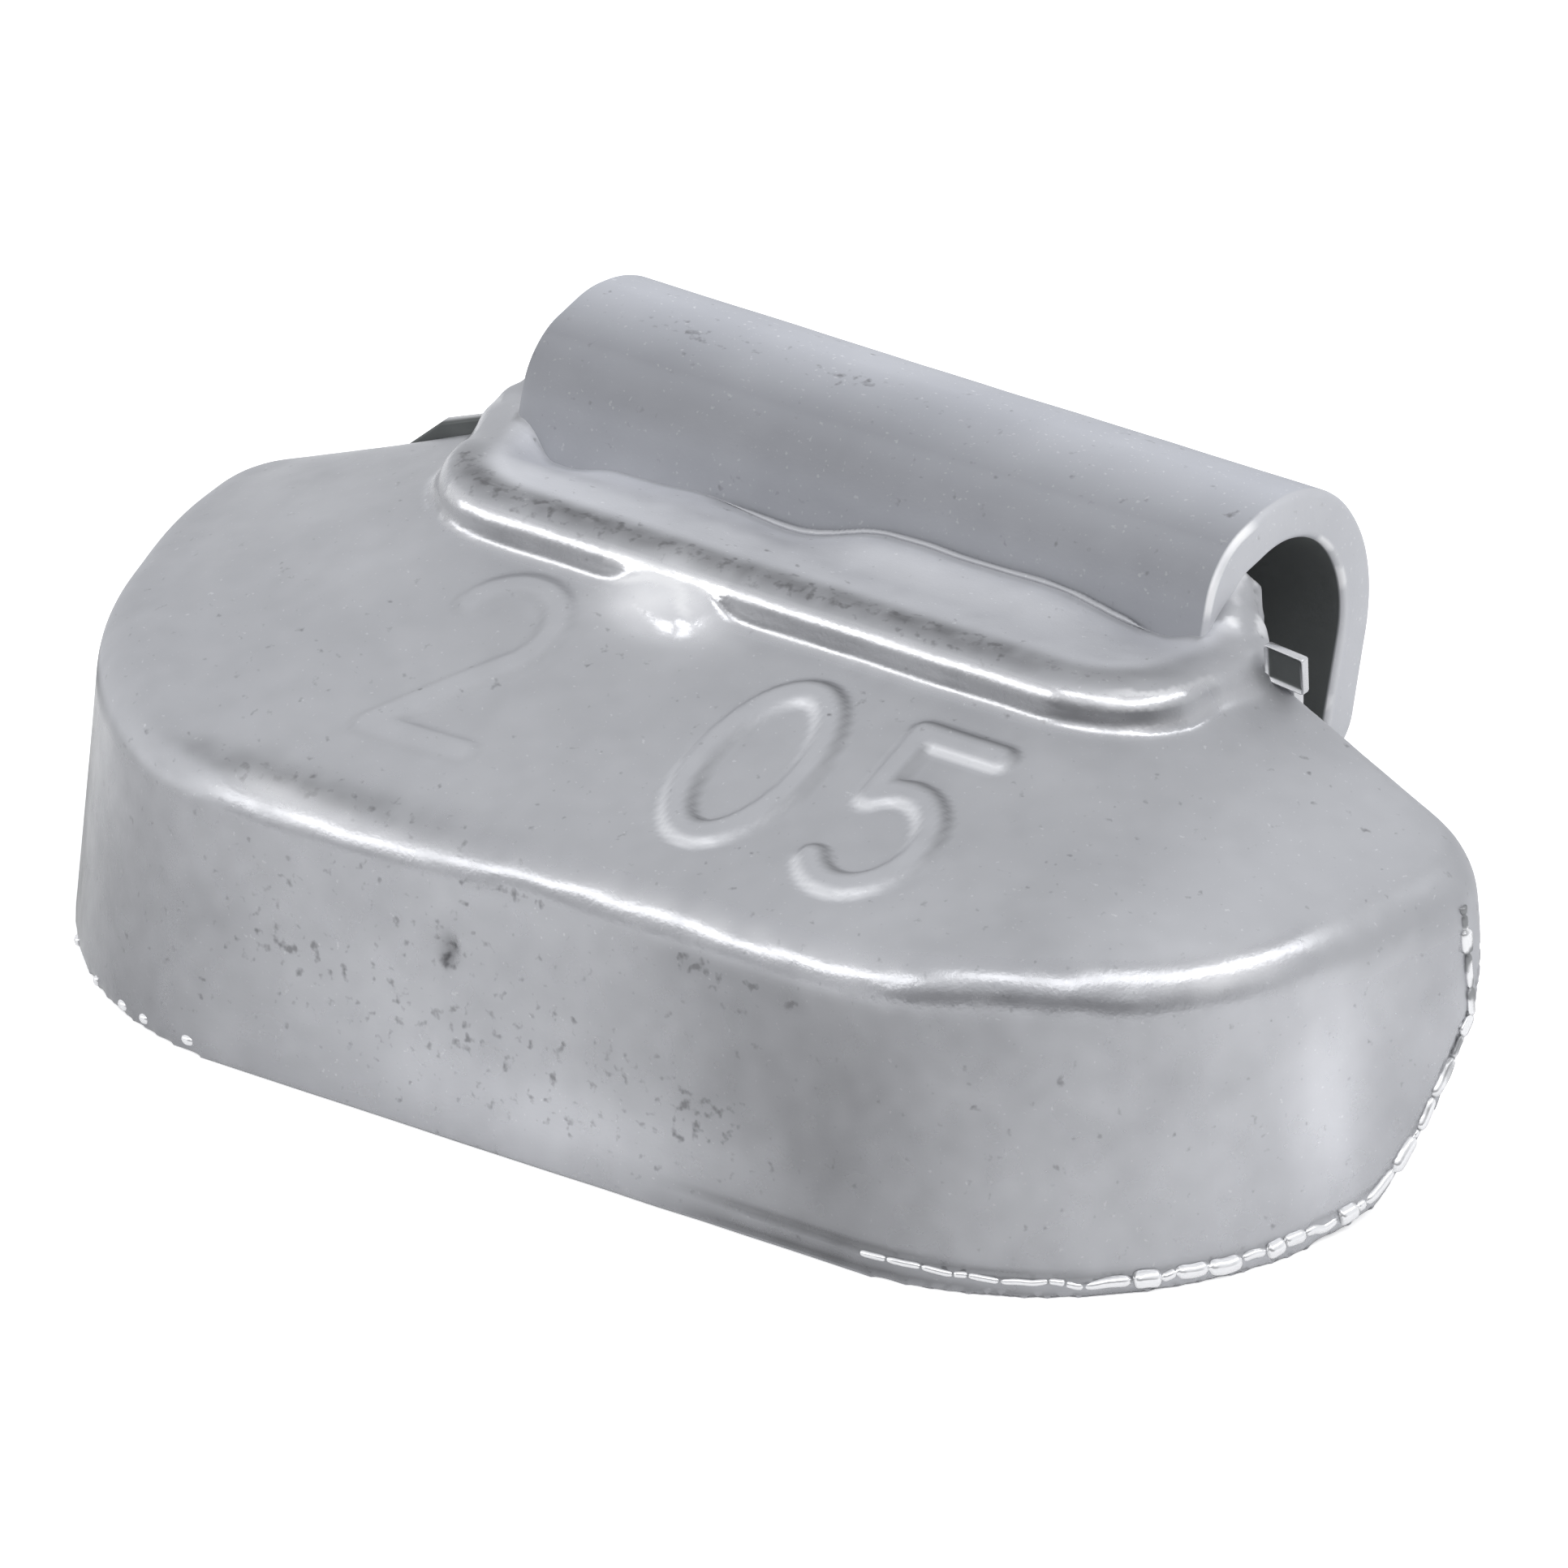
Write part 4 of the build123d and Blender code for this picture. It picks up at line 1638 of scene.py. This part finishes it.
        # The dark bands are painted dark reflection with some dirt: they add to the dirt flecks and darken
        # the coat
        keep_marks(
            mesh,
            grime=skin.soiled + 1.6 * bands,
            burr=np.maximum(skin.bare_and_highlight, self.glints(skin)),
            dull=self.dullness(skin),
            tone=self.tones(skin, from_rim) - bands * patchy,
        )


@dataclass
class Studio:
    """A pale floor, soft lamps, a light tent and the camera. Metres, degrees, and pixels for framing."""

    azimuth: float = 34.49
    elevation: float = 27.92
    distance: float = 0.6
    target: tuple = (0.0, 0.0019, 0.0035)
    picture_side: float = 1932.0
    picture_middle: tuple = (893.6, 989.5)
    pixels_per_millimetre: float = 93.04
    sensor: float = 36.0
    clip_start: float = 0.01
    floor_size: float = 1.2
    floor: PaleFloor = PaleFloor()
    tent: tuple = (0.86, 0.87, 0.89)
    horizon: tuple = (0.17, 0.17, 0.18)
    backdrop: tuple = (1.0, 1.0, 1.0)

    def lay_floor(self) -> bpy.types.Object:
        """Returns the floor, marked as stage."""
        reach = self.floor_size / 2
        points = np.array([(-reach, -reach, 0), (reach, -reach, 0), (reach, reach, 0), (-reach, reach, 0)])
        plane = mesh_object("studio_floor", points, [(0, 1, 2, 3)])
        plane.location.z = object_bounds()[0][2]
        plane.data.materials.append(self.floor.material())
        plane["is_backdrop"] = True
        return plane

    def light_tent(self) -> None:
        """Sets the world: white to the eye, a soft tent with a darker front horizon to the object."""
        world = bpy.data.worlds.new("light_tent")
        world.use_nodes = True
        bpy.context.scene.world = world
        sheet = NodeSheet(world.node_tree)
        way = sheet.add("SeparateXYZ", None, in0=sheet.add("TexCoord").outputs["Generated"])
        low = sheet.math("SUBTRACT", 1.0, sheet.span(way.outputs["Z"], 0.28, 0.5, 0, 1))
        ahead = sheet.span(way.outputs["Y"], -0.5, 0.2, 1, 0)
        dark = sheet.math("MULTIPLY", low, ahead)
        dark = sheet.math("MULTIPLY", dark, sheet.span(way.outputs["X"], -0.55, -0.2, 0.25, 1))
        tent = sheet.mix(dark, self.tent, self.horizon)
        path = sheet.add("LightPath")
        colour = sheet.mix(path.outputs["Is Camera Ray"], tent, self.backdrop)
        back = sheet.add("Background", None, Color=colour, Strength=1.0)
        sheet.add("OutputWorld", None, Surface=back.outputs[0])

    def hang_lamp(self, lamp: Lamp) -> bpy.types.Object:
        """Returns one soft lamp, aimed at the object."""
        box = lamp.value
        name = "lamp_" + lamp.name.lower()
        light = bpy.data.lights.new(name, "AREA")
        light.shape = "RECTANGLE"
        light.size = box.wide
        light.size_y = box.tall
        light.energy = box.radiance * math.pi * box.wide * box.tall
        holder = bpy.data.objects.new(name, light)
        direction = Vector(box.way).normalized()
        holder.location = Vector(self.target) + direction * box.away
        turn = Quaternion((0, 0, 1), math.radians(box.roll))
        holder.rotation_euler = (direction.to_track_quat("Z", "Y") @ turn).to_euler()
        bpy.context.scene.collection.objects.link(holder)
        return holder

    def place_camera(self) -> bpy.types.Object:
        """Returns the camera, at the photographed angle and framing."""
        azimuth = math.radians(self.azimuth)
        elevation = math.radians(self.elevation)
        level = math.cos(elevation)
        back = Vector((math.sin(azimuth) * level, -math.cos(azimuth) * level, math.sin(elevation)))
        right = Vector((math.cos(azimuth), math.sin(azimuth), 0))
        up = back.cross(right)
        pixel = MILLIMETRE / self.pixels_per_millimetre
        aside = (self.picture_side / 2 - self.picture_middle[0]) * pixel
        upward = (self.picture_middle[1] - self.picture_side / 2) * pixel
        lens = bpy.data.cameras.new("camera")
        lens.sensor_fit = "HORIZONTAL"
        lens.sensor_width = self.sensor
        lens.lens = self.sensor * self.distance / (self.picture_side * pixel)
        lens.clip_start = self.clip_start
        camera = bpy.data.objects.new("camera", lens)
        aim = Vector(self.target) + right * aside + up * upward
        turn = Matrix((right, up, back)).transposed().to_4x4()
        camera.matrix_world = Matrix.Translation(aim + back * self.distance) @ turn
        bpy.context.scene.collection.objects.link(camera)
        bpy.context.scene.camera = camera
        return camera

    def build(self) -> None:
        """Sets up floor, world, lamps and camera."""
        bpy.context.scene.view_settings.view_transform = "Standard"
        self.lay_floor()
        self.light_tent()
        for lamp in Lamp:
            self.hang_lamp(lamp)
        self.place_camera()


def main() -> None:
    """Builds the casting, its trims, the clip and the studio in order."""
    logging.basicConfig(level=logging.INFO)
    body = CastBody()
    casting = body.build()
    CastSurface(body).apply(casting)
    LOG.info("casting: %d faces", len(casting.data.polygons))
    trims = CastTrims(body).build(casting)
    body.dress(casting, trims)
    LOG.info("trims: %s", ", ".join(trim.name for trim in trims))
    strip = body.clip.build()
    body.clip.dress(strip)
    LOG.info("clip: %d faces", len(strip.data.polygons))
    Studio().build()
    LOG.info("studio is set")


if __name__ == "__main__":
    main()
